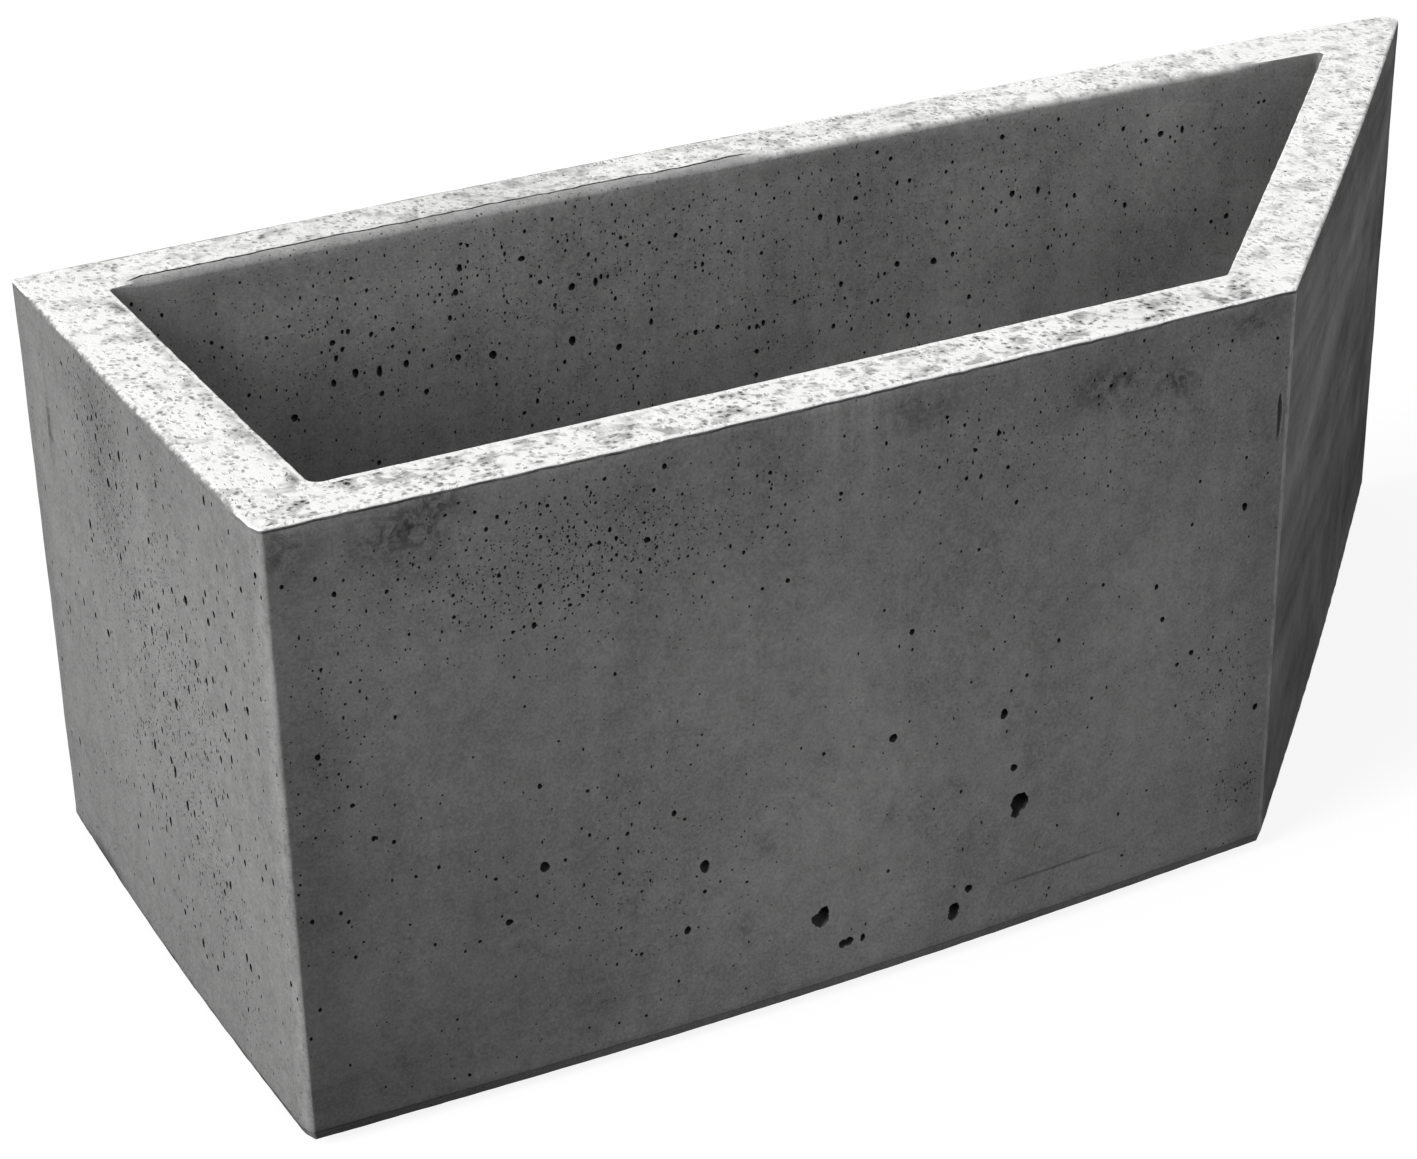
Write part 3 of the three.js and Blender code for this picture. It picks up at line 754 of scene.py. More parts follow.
# Where water ran down and left upright streaks
RUNS = {
    "front": ((300, 10, 26, 20, 1.0), (335, 130, 22, 90, 0.35), (180, 60, 20, 40, 0.25),
              (500, 60, 40, 60, 0.25)),
    "left": ((44, 66, 9, 26, 0.8), (150, 90, 90, 90, 0.15)),
    "back inside": ((400, 60, 500, 90, 0.2),),
}
# Grey stretches of the rim: mm along the wall, reach, and how much darker
RIM_PATCHES = {
    "front": ((490, 60, 0.12),),
    "mitre": ((120, 60, 0.06), (300, 300, -0.07)),
    "back": ((748, 60, 0.10), (640, 60, 0.20), (470, 60, 0.06), (378, 24, 0.16), (200, 150, -0.10)),
    "left": ((175, 260, -0.17),),
}
# How dark the strip along the left rim's inner edge is at the rows beside the rim's last row
LEFT_RIM_STRIP = {-2: 0.35, -1: 1.0, 0: 1.0, 1: 0.8}
# How strong the clouds are on the left wall and inside the back one, and the flecks on each part of the rim
LEFT_CALM, BACK_INSIDE_CLOUDS = 0.62, 1.22
FLECKS = {"front": 1.4, "mitre": 0.95, "back": 1.0, "left": 1.0}
# How pale the upright corners are rubbed, from the front left one on, and the strip beside the first
CORNER_WEAR = (0.35, 0.95, 0.12, 0.25)
LEFT_STRIP = 0.34
LOWEST_WEAR = 0.25
# How pale the first rows of a ragged arris are
RAGGED_LEVELS = (0.34, 0.52, 0.74)
# How much of the rim's paleness is left at each row from the rim down to the back wall's inner face,
# on the soft stretch and on the less soft one
FADED_LEVELS = ((0.24, 0.95), (0.17, 0.82), (0.11, 0.60), (0.06, 0.36), (0.03, 0.16), (0.01, 0.04))
# How many times darker than deep the lines are: painted shade in the line under the rim, and a darker
# crack
LINE_SHADE, CRACK_DARKENING = 2.2, 1.9


def even_field(grid, value=0.0):
    return np.full(grid.shape[:2], value)


def distance_along(corners, k, plan):
    """mm along side k from its first sharp corner, for plan positions."""
    (x0, y0), (dx, dy), _ = side(corners, k)
    return (plan[..., 0] - x0) * dx + (plan[..., 1] - y0) * dy


def patchy(grid, outside, inside, lists):
    """A field from lists of patches by face. outside and inside are the rows of these faces."""
    field = even_field(grid)
    for name, patches in lists.items():
        wall, _, is_inside = name.partition(" ")
        corners, rows = (INNER_CORNERS, inside) if is_inside else (OUTER_CORNERS, outside)
        chosen = np.ix_(rows, np.flatnonzero(on(wall)))
        spots = grid[chosen]
        at, down = distance_along(corners, WALLS.index(wall), spots), RIM_TOP - spots[..., 2]
        for u, v, reach_u, reach_v, amount in patches:
            field[chosen] += amount * np.exp(-((at - u) / reach_u) ** 2 - ((down - v) / reach_v) ** 2)
    return field


def darker(grid, outside, inside, broad):
    """How much darker each point is than the even tone, from the broad patches or the others."""
    chosen = {name: [p for p in patches if (max(p[2:4]) >= BROAD) == broad]
              for name, patches in PATCHES.items()}
    return patchy(grid, outside, inside, chosen)


def add_face_fields(shell, outside, inside=()):
    """Adds the fields that the walls and the base both have."""
    grid = shell.grid
    # The outside of the mitred face gets painted sheen bands
    streaks = even_field(grid)
    streaks[np.ix_(outside, np.flatnonzero(on("mitre")))] = 1.0
    shell.add_fields(stain=darker(grid, outside, inside, False), shade=darker(grid, outside, inside, True),
                     pins=patchy(grid, outside, inside, PINS), runs=patchy(grid, outside, inside, RUNS),
                     streaks=streaks, worn=worn_field(grid, outside))


def worn_field(grid, outside):
    """How pale the upright corners are rubbed, less towards the ground."""
    field = even_field(grid)
    for k, amount in enumerate(CORNER_WEAR):
        stations = np.arange(wall_start[k] - CORNER_STEPS[k], wall_start[k] + 1) % STATIONS
        corner = np.ix_(outside, stations)
        height = (grid[corner][..., 2] - BASE_LOW) / (RIM_TOP - BASE_LOW)
        field[corner] = amount * (LOWEST_WEAR + (1 - LOWEST_WEAR) * height.clip(0, 1))
    last_of_left = wall_start[3] + WALL_CELLS[3] - 1
    field[outside, last_of_left] = LEFT_STRIP
    field[outside, last_of_left - 1] = 0.5 * LEFT_STRIP
    return field


def contrast_field(grid, rim_rows=(), inside_rows=()):
    """How strong the clouds of the faces and the flecks of the rim are."""
    field = even_field(grid, 1.0)
    field[:, on("left")] = LEFT_CALM
    for wall, amount in FLECKS.items():
        field[np.ix_(rim_rows, np.flatnonzero(on(wall)))] = amount
    field[np.ix_(inside_rows, np.flatnonzero(on("back")))] = BACK_INSIDE_CLOUDS
    return field


def pale_field(grid):
    """1 on the rim, 0 on the faces that the forms shaped."""
    field = even_field(grid)
    field[ARRIS_FIRST + 1:INNER_ARRIS_FIRST + 3] = 1.0
    for row, level in enumerate(RAGGED_LEVELS, ARRIS_FIRST + 1):
        field[row] -= ragged_edge * (1 - level)
    field[INNER_ARRIS_FIRST:INNER_FIRST] *= 1 - np.maximum(soft_edge, less_soft)
    for row, (_, share) in enumerate(CRACK_STEPS, RIM_LAST):
        field[row] -= share * soft_edge
    return field


def faded_field(grid):
    """How much of the rim's paleness runs over the soft inner edge of the back wall."""
    field = even_field(grid)
    for row, (soft, less) in enumerate(FADED_LEVELS, INNER_ARRIS_FIRST):
        field[row] = soft * soft_edge + less * less_soft
    return field


def lip_field(grid):
    """1 on the thin bright lips along the edges of the rim, a painted highlight along their arrises."""
    field = even_field(grid)
    field[ARRIS_FIRST + 1:RIM_FIRST + 2] = (1.0 - ragged_edge) * (1 - 0.7 * on("mitre"))
    field[RIM_LAST:INNER_ARRIS_FIRST + 3] = 1.0 - np.maximum(soft_edge, less_soft)
    field[RIM_LAST:INNER_ARRIS_FIRST + 3] *= 1 - 0.85 * on("left") - 0.7 * on("mitre")
    return field


def stain_rim(field, grid):
    """Adds the grey stretches of the rim to the stain field."""
    for wall, patches in RIM_PATCHES.items():
        stations = np.flatnonzero(on(wall))
        for r in range(RIM_FIRST, RIM_LAST + 1):
            at = distance_along(OUTER_CORNERS, WALLS.index(wall), grid[r, stations])
            field[r, stations] = sum(amount * np.exp(-((at - u) / reach) ** 2)
                                     for u, reach, amount in patches)
    for offset, share in LEFT_RIM_STRIP.items():
        field[RIM_LAST + offset] += share * wander(21, 26, -0.1, 0.85).clip(0, 1) * on("left")


def rim_line_shade_and_seam_dirt(grid):
    """Painted shade in the thin line under the rim, darkening in the crack and along the back rim's outer
    edge, and dirt in the seam.
    """
    field = even_field(grid)
    for row, (_, share) in enumerate(LINE_STEPS, LINE_FIRST):
        field[row] = np.clip(line_depth / LINE_DEPTH * LINE_SHADE, 0, 1) * share
    for row, (_, share) in enumerate(CRACK_STEPS, RIM_LAST):
        field[row] = np.clip(crack_depth / CRACK_DEPTH * CRACK_DARKENING, 0, 1) * share
    field[RIM_FIRST - 1:RIM_FIRST + 2] = wander(17, 7, 0.5, 1.3).clip(0, 1) * soft_edge
    field[0] = seam_dirt
    return field


def make_walls():
    shell = Shell(wall_rows(), True)
    grid = shell.grid
    add_face_fields(shell, np.arange(0, ARRIS_FIRST), np.arange(INNER_ARRIS_FIRST, shell.rows))
    stain_rim(shell.fields["stain"], grid)
    rim_rows = np.arange(RIM_FIRST - 1, INNER_ARRIS_FIRST + 2)
    contrast = contrast_field(grid, rim_rows, np.arange(INNER_FIRST, shell.rows))
    shell.add_fields(pore=rim_line_shade_and_seam_dirt(grid), pale=pale_field(grid), faded=faded_field(grid),
                     lip=lip_field(grid), contrast=contrast)
    cut_wall_holes(shell)
    return shell.mesh("walls")


# The base slab: chamfer, side, ledge under the walls, upstand, floor and underside

BASE_HEIGHTS = np.linspace(BASE_LOW + CHAMFER_HEIGHT, SEAM - SEAM_HALF, 6)
# Rows just under the chamfer's upper edge, as shares of its height, and how much painted shade
# darkens each row of the downward-facing chamfer
CHAMFER_SHARES = (0.26, 0.08)
CHAMFER_SHADES = (0.20, 0.16, 0.34)
BASE_SIDE_FIRST = 3
DRAINS = ((-250.581, -1.5), (16.169, -1.5))
DRAIN_RADIUS, DRAIN_SIDES = 16.2, 48
# The sheets of floor and underside: the step of their points, how far a point may be off its place
# and how far it stays from the edges
SHEET_STEP, SHEET_JITTER, SHEET_MARGIN = 11.0, 3, 5
UNDERSIDE_BUMP, FLOOR_BUMP, BUMP_SCALE = 0.4, 0.9, 40


def base_rows():
    lowest = row_of(chamfer_points, outer_normals, bow_at(BASE_LOW), BASE_LOW)
    chamfer = outer_row(BASE_LOW + CHAMFER_HEIGHT)
    chamfer_rows = [lowest] + [chamfer + (lowest - chamfer) * share for share in CHAMFER_SHARES] + [chamfer]
    roughen(chamfer_rows, outer_flat, 0.3, 8, 13)
    sides = [outer_row(z) for z in BASE_HEIGHTS[1:]]
    return chamfer_rows + sides + [outer_row(SEAM, seam_depth), inner_row(SEAM), inner_row(FLOOR_TOP)]


def inside_loop(point, loop):
    """True if the plan point lies inside the closed loop."""
    x, y = point
    x0, y0 = loop[:, 0], loop[:, 1]
    x1, y1 = np.roll(x0, -1), np.roll(y0, -1)
    crosses = (y0 > y) != (y1 > y)
    with np.errstate(divide="ignore", invalid="ignore"):
        at = x0 + (y - y0) * (x1 - x0) / (y1 - y0)
    return bool(np.count_nonzero(crosses & (x < at)) % 2)


def off_drains(x, y, radius):
    return all(math.hypot(x - dx, y - dy) > radius for dx, dy in DRAINS)


def sheet_points(outline, height, bump):
    """Points spread inside the outline, off the drains."""
    rng = random.Random(SEED + 3)
    points = []
    low, high = outline.min(axis=0), outline.max(axis=0)
    for x in np.arange(low[0], high[0], SHEET_STEP):
        for y in np.arange(low[1], high[1], SHEET_STEP):
            u, v = (middle + rng.uniform(-SHEET_JITTER, SHEET_JITTER) for middle in (x, y))
            near = np.hypot(outline[:, 0] - u, outline[:, 1] - v).min()
            clear = near > SHEET_MARGIN and off_drains(u, v, DRAIN_RADIUS + SHEET_MARGIN)
            if clear and inside_loop((u, v), outline):
                lift = bump * noise.noise(Vector((u / BUMP_SCALE, v / BUMP_SCALE, height)))
                points.append((u, v, height + lift))
    return points


def sheet(loops, height, facing, bump, first_id):
    """A flat sheet inside the first loop and round the others, each (numbers of its points, points).
    Returns its new points, numbered from first_id, and its faces."""
    plan, ids, edges = [], [], []
    for loop_ids, loop in loops:
        start = len(plan)
        edges += [(start + k, start + (k + 1) % len(loop)) for k in range(len(loop))]
        plan += [Vector(p[:2]) for p in loop]
        ids += loop_ids
    outline = loops[0][1][:, :2]
    new_points = sheet_points(outline, height, bump)
    plan += [Vector(p[:2]) for p in new_points]
    ids += range(first_id, first_id + len(new_points))
    corners, _, triangles, origins = delaunay_2d_cdt(plan, edges, [], 0, 1e-6)[:4]
    faces = []
    for triangle in triangles:
        middle = sum((corners[i] for i in triangle), Vector((0, 0))) / 3
        if off_drains(*middle, DRAIN_RADIUS - 0.1) and inside_loop(middle, outline):
            face = [ids[origins[i][0]] for i in triangle]
            faces.append(tuple(face if facing > 0 else reversed(face)))
    return new_points, faces


def cut_base_holes(shell):
    rng = random.Random(SEED + 1)
    faces = {wall: Face(wall, False, BASE_SIDE_FIRST, BASE_HEIGHTS) for wall in SCATTER_BASE}
    cut_listed(shell, faces["front"], BASE_FRONT_HOLES, rng, on_front)
    cut_lobed(shell, faces["front"], BASE_LOBED_HOLES, rng)
    for wall, holes in SCATTER_BASE.items():
        scatter(shell, faces[wall], rng, *holes)


def make_base():
    shell = Shell(base_rows(), False)
    grid = shell.grid
    add_face_fields(shell, np.arange(0, shell.rows - 2))
    pore = even_field(grid)
    pore[BASE_SIDE_FIRST + len(BASE_HEIGHTS)] = seam_dirt
    # Painted shade on the downward-facing chamfer, darkest at its crease, and a broken line of painted
    # shade along the foot of the left wall
    for row, amount in enumerate(CHAMFER_SHADES):
        shell.fields["shade"][row] += amount + wander(18, 15, -0.5, 0.7).clip(0, 0.4) * on("left")
    shell.add_fields(pore=pore, pale=even_field(grid), faded=even_field(grid), lip=even_field(grid),
                     contrast=contrast_field(grid))
    cut_base_holes(shell)
    first = len(shell.points)
    points, faces, drains = [], [], {}
    for height in (BASE_LOW, FLOOR_TOP):
        for centre in DRAINS:
            start = first + len(points)
            spots = circle(centre, DRAIN_RADIUS, height, DRAIN_SIDES)
            points += spots
            drains[height, centre] = (list(range(start, start + DRAIN_SIDES)), spots)
    for centre in DRAINS:
        low, high = drains[BASE_LOW, centre][0], drains[FLOOR_TOP, centre][0]
        faces += [(b, a, d, c) for a, b, c, d in quads(low, high)]
    sheets = (BASE_LOW, 0, -1, UNDERSIDE_BUMP), (FLOOR_TOP, shell.rows - 1, 1, FLOOR_BUMP)
    for height, row, facing, bump in sheets:
        loops = [([shell.vertex(row, s) for s in range(STATIONS)], grid[row])]
        loops += [drains[height, centre] for centre in DRAINS]
        new, made = sheet(loops, height, facing, bump, first + len(points))
        points += new
        faces += made
    return shell.mesh("base", faces, points)


# Small turned pieces

ROUND_SIDES = 64
PLUG_SEAT = 45.3
# Profiles as (radius, height) pairs. The plug's heights are above its seat.
PLUG = (
    (0, -16), (12.5, -16), (12.9, -11), (12.6, -10.4), (12.9, -9.8), (13.3, -5.4), (13.0, -4.8),
    (13.3, -4.2), (13.7, 0), (19, 0), (19, 4), (14.6, 4), (14.2, 3.5), (13.4, 3.5), (13.0, 4), (4.5, 4),
    (4.5, 7), (7.5, 7), (7.5, 13), (3.2, 13), (2.6, 12.5), (0, 12.5),
)
FOOT = (
    (0, 0.4), (5.6, 0.4), (6.2, 0), (10.8, 0), (11.4, 0.5), (12.4, 0.5), (13, 0), (16.8, 0), (17.4, 0.5),
    (18.4, 0.5), (19, 0), (22.5, 0), (22.5, 5), (0, 5),
)
SLEEVE = (
    (14, 5.4), (14.4, 5), (15.7, 5), (16, 5.3), (16, 23.5), (20, 23.5), (20, 26.5), (16, 26.5), (16, 44.7),
    (15.7, 45), (14.4, 45), (14, 44.6),
)
PLUG_ROUNDING, FOOT_ROUNDING = 0.8, 0.7


def turned(name, profile, centre, closed=False):
    """A mesh of revolution about an upright axis, from (radius, height) pairs."""
    points, rows = [], []
    for radius, z in profile:
        start = len(points)
        if radius == 0:
            points.append((*centre, z))
            rows.append([start] * ROUND_SIDES)
        else:
            points += circle(centre, radius, z, ROUND_SIDES)
            rows.append(list(range(start, start + ROUND_SIDES)))
    if closed:
        rows.append(rows[0])
    faces = [tuple(dict.fromkeys(corners)) for low, high in zip(rows, rows[1:])
             for corners in quads(low, high)]
    return new_mesh(name, points, faces)


def rounded(corners, radius, steps=4):
    """Rounds the inner corners of a profile of (radius, height) pairs."""
    made = [corners[0]]
    for before, here, after in zip(corners, corners[1:], corners[2:]):
        b, h, a = (np.array(p, float) for p in (before, here, after))
        into, out = h - b, a - h
        room = min(np.linalg.norm(into), np.linalg.norm(out)) * 0.48
        r = min(radius, room)
        start, end = h - into / np.linalg.norm(into) * r, h + out / np.linalg.norm(out) * r
        for s in range(steps + 1):
            t = s / steps
            made.append(tuple((1 - t) ** 2 * start + 2 * t * (1 - t) * h + t ** 2 * end))
    return made + [corners[-1]]


# Materials

# Fields of the mesh that the concrete reads
CONCRETE_FIELDS = ("pore", "pale", "faded", "stain", "shade", "contrast", "pins", "runs", "streaks",
                   "worn", "lip")
CONCRETE_TONE, PLUG_TONE, FOOT_TONE = 0.235, 0.016, 0.020
# Red, green and blue of the steel: of bare metal and of rust, each with how far it swings
STEEL_CHANNELS = ((0.20, 0.10, 0.22, 0.16), (0.185, 0.10, 0.085, 0.07), (0.17, 0.10, 0.04, 0.03))


class Wire:
    """The output of a node. Its sums, differences and products are nodes too."""

    def __init__(self, nodes, socket):
        self.nodes = nodes
        self.socket = socket

    def __add__(self, other):
        return self.nodes.math("ADD", self, other)

    def __radd__(self, other):
        return self.nodes.math("ADD", other, self)

    def __sub__(self, other):
        return self.nodes.math("SUBTRACT", self, other)

    def __rsub__(self, other):
        return self.nodes.math("SUBTRACT", other, self)

    def __mul__(self, other):
        return self.nodes.math("MULTIPLY", self, other)

    def swing(self, amount):
        """amount times how far the value is from a half."""
        return (self - 0.5) * amount

    def ramp(self, low, high, to_low=0.0, to_high=1.0):
        places = {"Value": self, "From Min": low, "From Max": high, "To Min": to_low, "To Max": to_high}
        return self.nodes.out("ShaderNodeMapRange", "Result", places, interpolation_type="SMOOTHSTEP")


class Nodes:
    """Builds the node tree of a material or world. An input takes a wire, a number or a colour."""

    def __init__(self, owner):
        owner.use_nodes = True
        self.owner = owner
        self.tree = owner.node_tree
        self.tree.nodes.clear()

    def make(self, kind, inputs, **settings):
        made = self.tree.nodes.new(kind)
        for key, value in settings.items():
            setattr(made, key, value)
        for key, value in inputs.items():
            if isinstance(value, Wire):
                self.tree.links.new(value.socket, made.inputs[key])
            else:
                made.inputs[key].default_value = value
        return made

    def out(self, kind, wanted, inputs, **settings):
        return Wire(self, self.make(kind, inputs, **settings).outputs[wanted])

    def math(self, operation, a, b):
        return self.out("ShaderNodeMath", 0, {0: a, 1: b}, operation=operation)

    def blend(self, factor, a, b):
        return self.out("ShaderNodeMix", 0, {0: factor, 2: a, 3: b}, data_type="FLOAT")

    def here(self):
        return self.out("ShaderNodeTexCoord", "Object", {})

    def noise(self, place, scale, detail=2.0, roughness=0.5, distortion=0.0, wanted="Fac"):
        places = {"Vector": place, "Scale": scale, "Detail": detail, "Roughness": roughness,
                  "Distortion": distortion}
        return self.out("ShaderNodeTexNoise", wanted, places)

    def stretched(self, place, scale, rotation=(0, 0, 0)):
        places = {"Vector": place, "Scale": scale, "Rotation": rotation}
        return self.out("ShaderNodeMapping", "Vector", places)

    def field(self, name):
        return self.out("ShaderNodeAttribute", "Fac", {}, attribute_name=name)

    def colour(self, red, green, blue):
        return self.out("ShaderNodeCombineColor", "Color", {"Red": red, "Green": green, "Blue": blue})

    def grey(self, value, tint=(1.0, 1.0, 1.0)):
        return self.colour(*(value if t == 1.0 else value * t for t in tint))

    def bump(self, height, strength, distance):
        places = {"Height": height, "Strength": strength, "Distance": distance}
        return self.out("ShaderNodeBump", "Normal", places)

    def finish(self, colour, roughness, normal, **constants):
        places = {"Base Color": colour, "Roughness": roughness, "Normal": normal}
        places.update((key.replace("_", " "), value) for key, value in constants.items())
        shader = self.out("ShaderNodeBsdfPrincipled", "BSDF", places)
        self.make("ShaderNodeOutputMaterial", {"Surface": shader})
        return self.owner

    def seen_directly(self):
        """1 where the ray comes from the camera or through a reflection or glass, else 0."""
        rays = self.make("ShaderNodeLightPath", {})
        total = Wire(self, rays.outputs["Is Camera Ray"])
        for other in ("Is Glossy Ray", "Is Transmission Ray"):
            total = self.math("MAXIMUM", total, Wire(self, rays.outputs[other]))
        return total


def new_look(name):
    return Nodes(bpy.data.materials.new(name))


def pinholes(look, place, scale, share, low, high):
    """Small dark dots, the painted shade of pinholes too small to cut: 1 inside a dot. share is how many
    of the cells have one.
    """
    cells = look.make("ShaderNodeTexVoronoi", {"Vector": place, "Scale": scale})
    pick = look.out("ShaderNodeSeparateColor", 0, {"Color": Wire(look, cells.outputs["Color"])})
    chosen = look.math("LESS_THAN", pick, share)
    return Wire(look, cells.outputs["Distance"]).ramp(low, high, 1.0, 0.0) * chosen


def cast_face(look, place, fields, patches, spots, grain):
    """How light clean and stained concrete is where it lay against the form, as a share of its tone,
    with painted sheen bands on the mitred face and the painted shade and light of the broad patches.
    """
    clouds = look.noise(place, 4.5, 2, 0.5)
    drifts = look.noise(look.stretched(place, (38, 38, 3.5)), 1.0, 3, 0.6)
    broad = clouds.swing(0.40) + patches.swing(0.50) + drifts.swing(0.25)
    value = 1.0 + broad * fields["contrast"] + spots.swing(0.85) + grain.swing(1.10)
    fine_runs = look.noise(look.stretched(place, (190, 190, 9)), 1.0, 4, 0.6)
    value = value + fields["runs"] * fine_runs.swing(1.3)
    # Painted sheen: light and dark diagonal bands across the mitred face
    turned_place = look.stretched(place, (1, 1, 1), (0, 0, -math.radians(45)))
    sheen_bands = look.noise(look.stretched(turned_place, (3.2, 3.2, 22)), 1.0, 5, 0.60, 0.5)
    value = value + fields["streaks"] * sheen_bands.swing(3.6)
    broken = look.noise(place, 120, 5, 0.72, 0.6).ramp(0.42, 0.58, 0.25, 1.55)
    value = value * (1.0 - fields["stain"] * look.blend(fields["pale"], broken, 1.0))
    # Smooth shade from the broad patches, part stain and part painted shade and light, and the chamfer's
    # painted shade
    return value * (1.0 - fields["shade"])


def rim_top(look, place, fields, pit, crumbs):
    """How light the rough rim is, with painted shade in its pits, and its thin lips, a painted highlight.
    """
    blots = look.noise(look.stretched(place, (1, 1, 0.2)), 85, 4, 0.62, 0.5)
    # Painted shade in the pits, and grey blots
    flecks = pit * -0.36 + blots.ramp(0.42, 0.68, 0.05, -0.36)
    value = (0.93 + flecks * fields["contrast"] + crumbs.swing(0.34)) * (1.0 - fields["stain"])
    # Painted highlight: the lips stay clean and bright
    return look.math("MINIMUM", look.blend(fields["lip"], value, 0.93 + crumbs.swing(0.4)), 0.96)


def rim_pits(look, place):
    """1 in the pits between the grains of the rim."""
    swirl = look.noise(place, 330.0, wanted="Color")
    bent = look.out("ShaderNodeVectorMath", "Vector", {0: swirl, 1: (0.003, 0.003, 0.003), 2: place},
                    operation="MULTIPLY_ADD")
    cells = look.out("ShaderNodeTexVoronoi", "Distance", {"Vector": bent, "Scale": 230.0})
    pit = cells.ramp(0.14, 0.48, 1.0, 0.0)
    return pit * look.noise(place, 38, 3, 0.6).ramp(0.36, 0.62, 0.35, 1.0)


def concrete(name, tone):
    """Form-cast concrete: clouds, grain, pinholes and stains, with a rough pale rim, painted shade in its
    hollows, painted sheen on the mitred face and a painted highlight along the rim's edges.
    """
    look = new_look(name)
    place = look.here()
    fields = {field: look.field(field) for field in CONCRETE_FIELDS}
    patches = look.noise(place, 17, 4, 0.6, 0.4)
    spots = look.noise(place, 95, 6, 0.78, 0.3)
    grain = look.noise(place, 620, 3, 0.7)
    crumbs = look.noise(place, 520, 4, 0.65)
    tufts = look.noise(place, 160, 4, 0.65)
    pit = rim_pits(look, place)
    value = cast_face(look, place, fields, patches, spots, grain) * tone
    rubbed = look.noise(look.stretched(place, (1, 1, 0.4)), 240, 4, 0.65).ramp(0.34, 0.58)
    value = look.blend(fields["worn"] * rubbed, value, 0.44)
    tall_place, share = look.stretched(place, (1, 1, 0.55)), fields["pins"]
    dots = look.math("MAXIMUM", pinholes(look, tall_place, 340, share * 0.8, 0.15, 0.24),
                     pinholes(look, place, 620, share, 0.18, 0.30))
    # Painted shade in the pinholes
    value = value * (1.0 - dots * 0.93)
    torn = fields["pale"] + look.noise(place, 480, 3, 0.6).swing(0.5) + tufts.swing(0.9)
    thinned = fields["faded"] * tufts.ramp(0.35, 0.65, 0.78, 1.2)
    pale_mask = look.math("MAXIMUM", torn.ramp(0.25, 0.75), thinned)
    value = look.blend(pale_mask, value, rim_top(look, place, fields, pit, crumbs))
    # Painted shade in the air holes, the rim's pits, the chip and the line under the rim, darkening in the
    # crack and along the back rim's outer edge, and dirt in the seam
    value = value * look.blend(fields["pore"], 1.0, look.blend(pale_mask, 0.05, 0.42))
    height = look.blend(pale_mask, grain * 0.5 + spots * 0.6 - dots * 1.6, pit * -2.2 + crumbs * 0.8)
    rough = look.blend(pale_mask, patches.ramp(0.3, 0.7, 0.62, 0.80), 0.92)
    return look.finish(look.grey(value, (1.0, 1.0, 0.992)), rough, look.bump(height, 0.55, 0.0006),
                       Specular_IOR_Level=0.03)


def rusty_steel(name):
    look = new_look(name)
    place = look.here()
    rust = look.noise(place, 90, 6, 0.7, 0.5).ramp(0.42, 0.62)
    scale = look.noise(place, 420, 3, 0.6)
    channels = [look.blend(rust, bare + scale.swing(bare_swing), rusted + scale.swing(rust_swing))
                for bare, bare_swing, rusted, rust_swing in STEEL_CHANNELS]
    return look.finish(look.colour(*channels), look.blend(rust, 0.42, 0.85), look.bump(scale, 0.5, 0.0004),
                       Metallic=look.blend(rust, 0.9, 0.05))


def moulded_plastic(name):
    look = new_look(name)
    place = look.here()
    cloud = look.noise(place, 60, 3, 0.5)
    fine = look.noise(place, 1400, 2, 0.5)
    value = 0.285 + (cloud.swing(0.05) + fine.swing(0.03))
    return look.finish(look.grey(value, (0.98, 1.0, 1.02)), cloud.ramp(0.3, 0.7, 0.42, 0.55),
                       look.bump(fine, 0.2, 0.0001), Specular_IOR_Level=0.45)


def matt_rubber(name, tone):
    look = new_look(name)
    place = look.here()
    dust = look.noise(place, 130, 5, 0.65)
    skin = look.noise(place, 1600, 2, 0.5)
    value = tone + dust.ramp(0.50, 0.75, 0.0, tone * 1.6) + skin.swing(tone * 0.5)
    return look.finish(look.grey(value), dust.ramp(0.4, 0.7, 0.62, 0.88), look.bump(skin, 0.35, 0.0001),
                       Specular_IOR_Level=0.35)


# Pieces on their bodies

SMOOTH_ANGLE = math.radians(35)
FEET = {
    "front_left": (-393.636, -120.0),
    "front_right": (88.582, -120.0),
    "back_left": (-393.636, 120.0),
    "back_middle": (-32.527, 120.0),
    "back_right": (328.582, 120.0),
}


def new_object(name, data):
    made = bpy.data.objects.new(name, data)
    bpy.context.scene.collection.objects.link(made)
    return made


def add_piece(name, mesh, material, body, slot, *nodes):
    mesh.polygons.foreach_set("use_smooth", [True] * len(mesh.polygons))
    mesh.set_sharp_from_angle(angle=SMOOTH_ANGLE)
    mesh.materials.append(material)
    piece = new_object(name, mesh)
    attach(piece, body)
    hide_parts(*nodes)


add_piece("cast_walls", make_walls(), concrete("wall concrete", CONCRETE_TONE),
          "planter", "wall_concrete", "wall_ring")
add_piece("cast_base", make_base(), concrete("base concrete", CONCRETE_TONE),
          "planter", "base_concrete", "base_slab")

steel = rusty_steel("rusty bar")
for node_name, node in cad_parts.items():
    if "_bar_" in node_name or node_name.startswith("hoop_"):
        node.data.materials.clear()
        node.data.materials.append(steel)

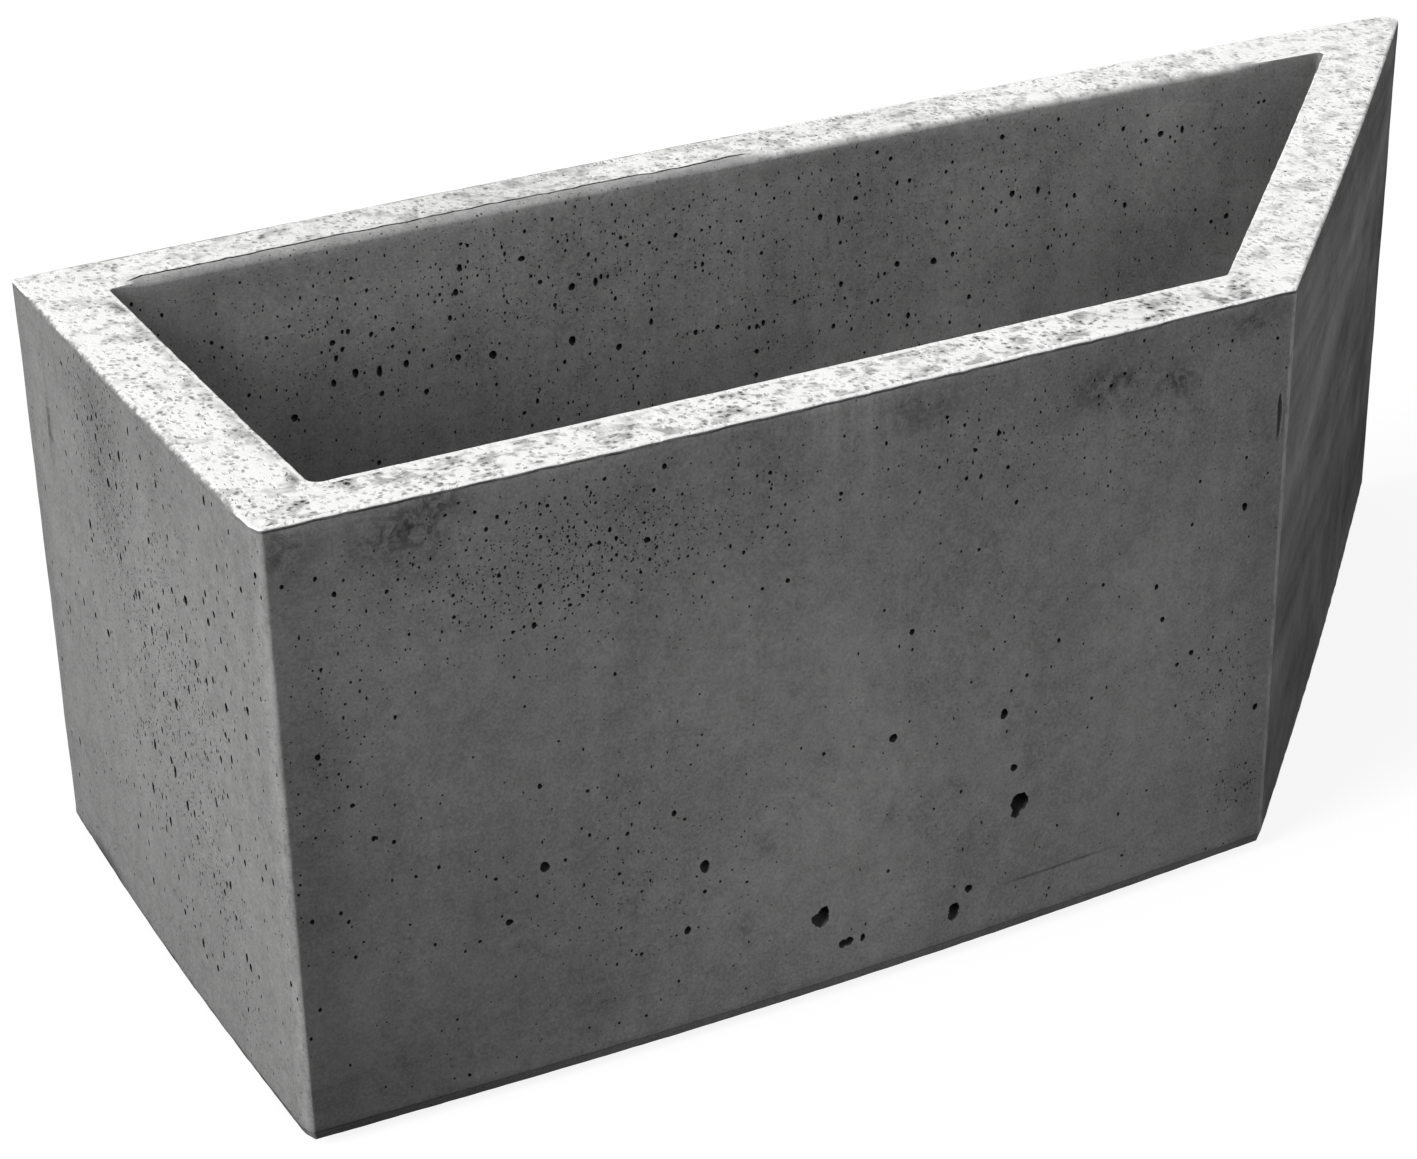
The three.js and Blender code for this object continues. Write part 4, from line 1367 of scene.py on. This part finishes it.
plastic = moulded_plastic("grey plastic")
plug_look, foot_look = matt_rubber("plug rubber", PLUG_TONE), matt_rubber("foot rubber", FOOT_TONE)
plug_profile = rounded([(radius, PLUG_SEAT + z) for radius, z in PLUG], PLUG_ROUNDING)
for name, centre in zip(("left", "right"), DRAINS):
    add_piece(f"sleeve_{name}", turned("sleeve", SLEEVE, centre, closed=True), plastic,
              "planter", "sleeve_plastic", f"drain_sleeve_{name}")
    add_piece(f"plug_{name}", turned("plug", plug_profile, centre), plug_look,
              f"{name}_plug", "plug_rubber", f"drain_plug_{name}")
for name, centre in FEET.items():
    add_piece(f"pad_{name}", turned("foot", rounded(FOOT, FOOT_ROUNDING), centre), foot_look,
              "planter", "foot_rubber", f"foot_{name}")


# Floor, light and camera

FLOOR_HALF = 14000
FLOOR_TONE = 0.15
FLOOR_GLOW = 0.88
SKY = 0.40
# Each lamp: where its light comes from, how strong it is and how soft, in degrees
LAMPS = {"key": (Vector((-0.79, -0.10, 0.55)), 0.97, 28), "fill": (Vector((0.30, -0.75, 0.60)), 0.06, 60)}
WHITE_SUN = math.pi
NEAREST, FARTHEST = 0.05, 60


def make_floor():
    h = FLOOR_HALF
    mesh = new_mesh("floor", [(-h, -h, 0), (h, -h, 0), (h, h, 0), (-h, h, 0)], [(0, 1, 2, 3)])
    look = new_look("pale floor")
    matt = look.out("ShaderNodeBsdfDiffuse", 0, {"Color": (FLOOR_TONE, FLOOR_TONE, FLOOR_TONE, 1)})
    glow = look.out("ShaderNodeEmission", 0, {"Strength": look.seen_directly() * FLOOR_GLOW})
    both = look.out("ShaderNodeAddShader", 0, {0: matt, 1: glow})
    look.make("ShaderNodeOutputMaterial", {"Surface": both})
    mesh.materials.append(look.owner)
    new_object("studio_floor", mesh)


def make_world():
    world = bpy.data.worlds.new("studio")
    bpy.context.scene.world = world
    sky = Nodes(world)
    places = {"Value": sky.seen_directly(), "To Min": SKY, "To Max": 1.0}
    level = sky.out("ShaderNodeMapRange", "Result", places)
    light = sky.out("ShaderNodeBackground", 0, {"Color": (1, 1, 1, 1), "Strength": level})
    sky.make("ShaderNodeOutputWorld", {"Surface": light})


def add_sun(name, from_direction, level, softness):
    lamp = bpy.data.lights.new(name, "SUN")
    lamp.energy = level * WHITE_SUN
    lamp.angle = math.radians(softness)
    sun = new_object(name, lamp)
    sun.rotation_mode = "QUATERNION"
    sun.rotation_quaternion = from_direction.normalized().to_track_quat("Z", "Y")


def add_camera():
    back = Vector((math.sin(CAMERA_AZIMUTH) * math.cos(CAMERA_ELEVATION),
                   -math.cos(CAMERA_AZIMUTH) * math.cos(CAMERA_ELEVATION), math.sin(CAMERA_ELEVATION)))
    right = Vector((math.cos(CAMERA_AZIMUTH), math.sin(CAMERA_AZIMUTH), 0))
    right = math.cos(CAMERA_ROLL) * right + math.sin(CAMERA_ROLL) * back.cross(right)
    up = back.cross(right)
    camera = new_object("camera", bpy.data.cameras.new("camera"))
    camera.data.lens = CAMERA_LENS
    camera.data.clip_start, camera.data.clip_end = NEAREST, FARTHEST
    place = CAMERA_TARGET + back * CAMERA_DISTANCE
    camera.matrix_world = Matrix([*zip(right, up, back, place), (0, 0, 0, 1)])
    bpy.context.scene.camera = camera


make_floor()
make_world()
for name, lamp in LAMPS.items():
    add_sun(name, *lamp)
add_camera()
bpy.context.scene.view_settings.view_transform = "Standard"
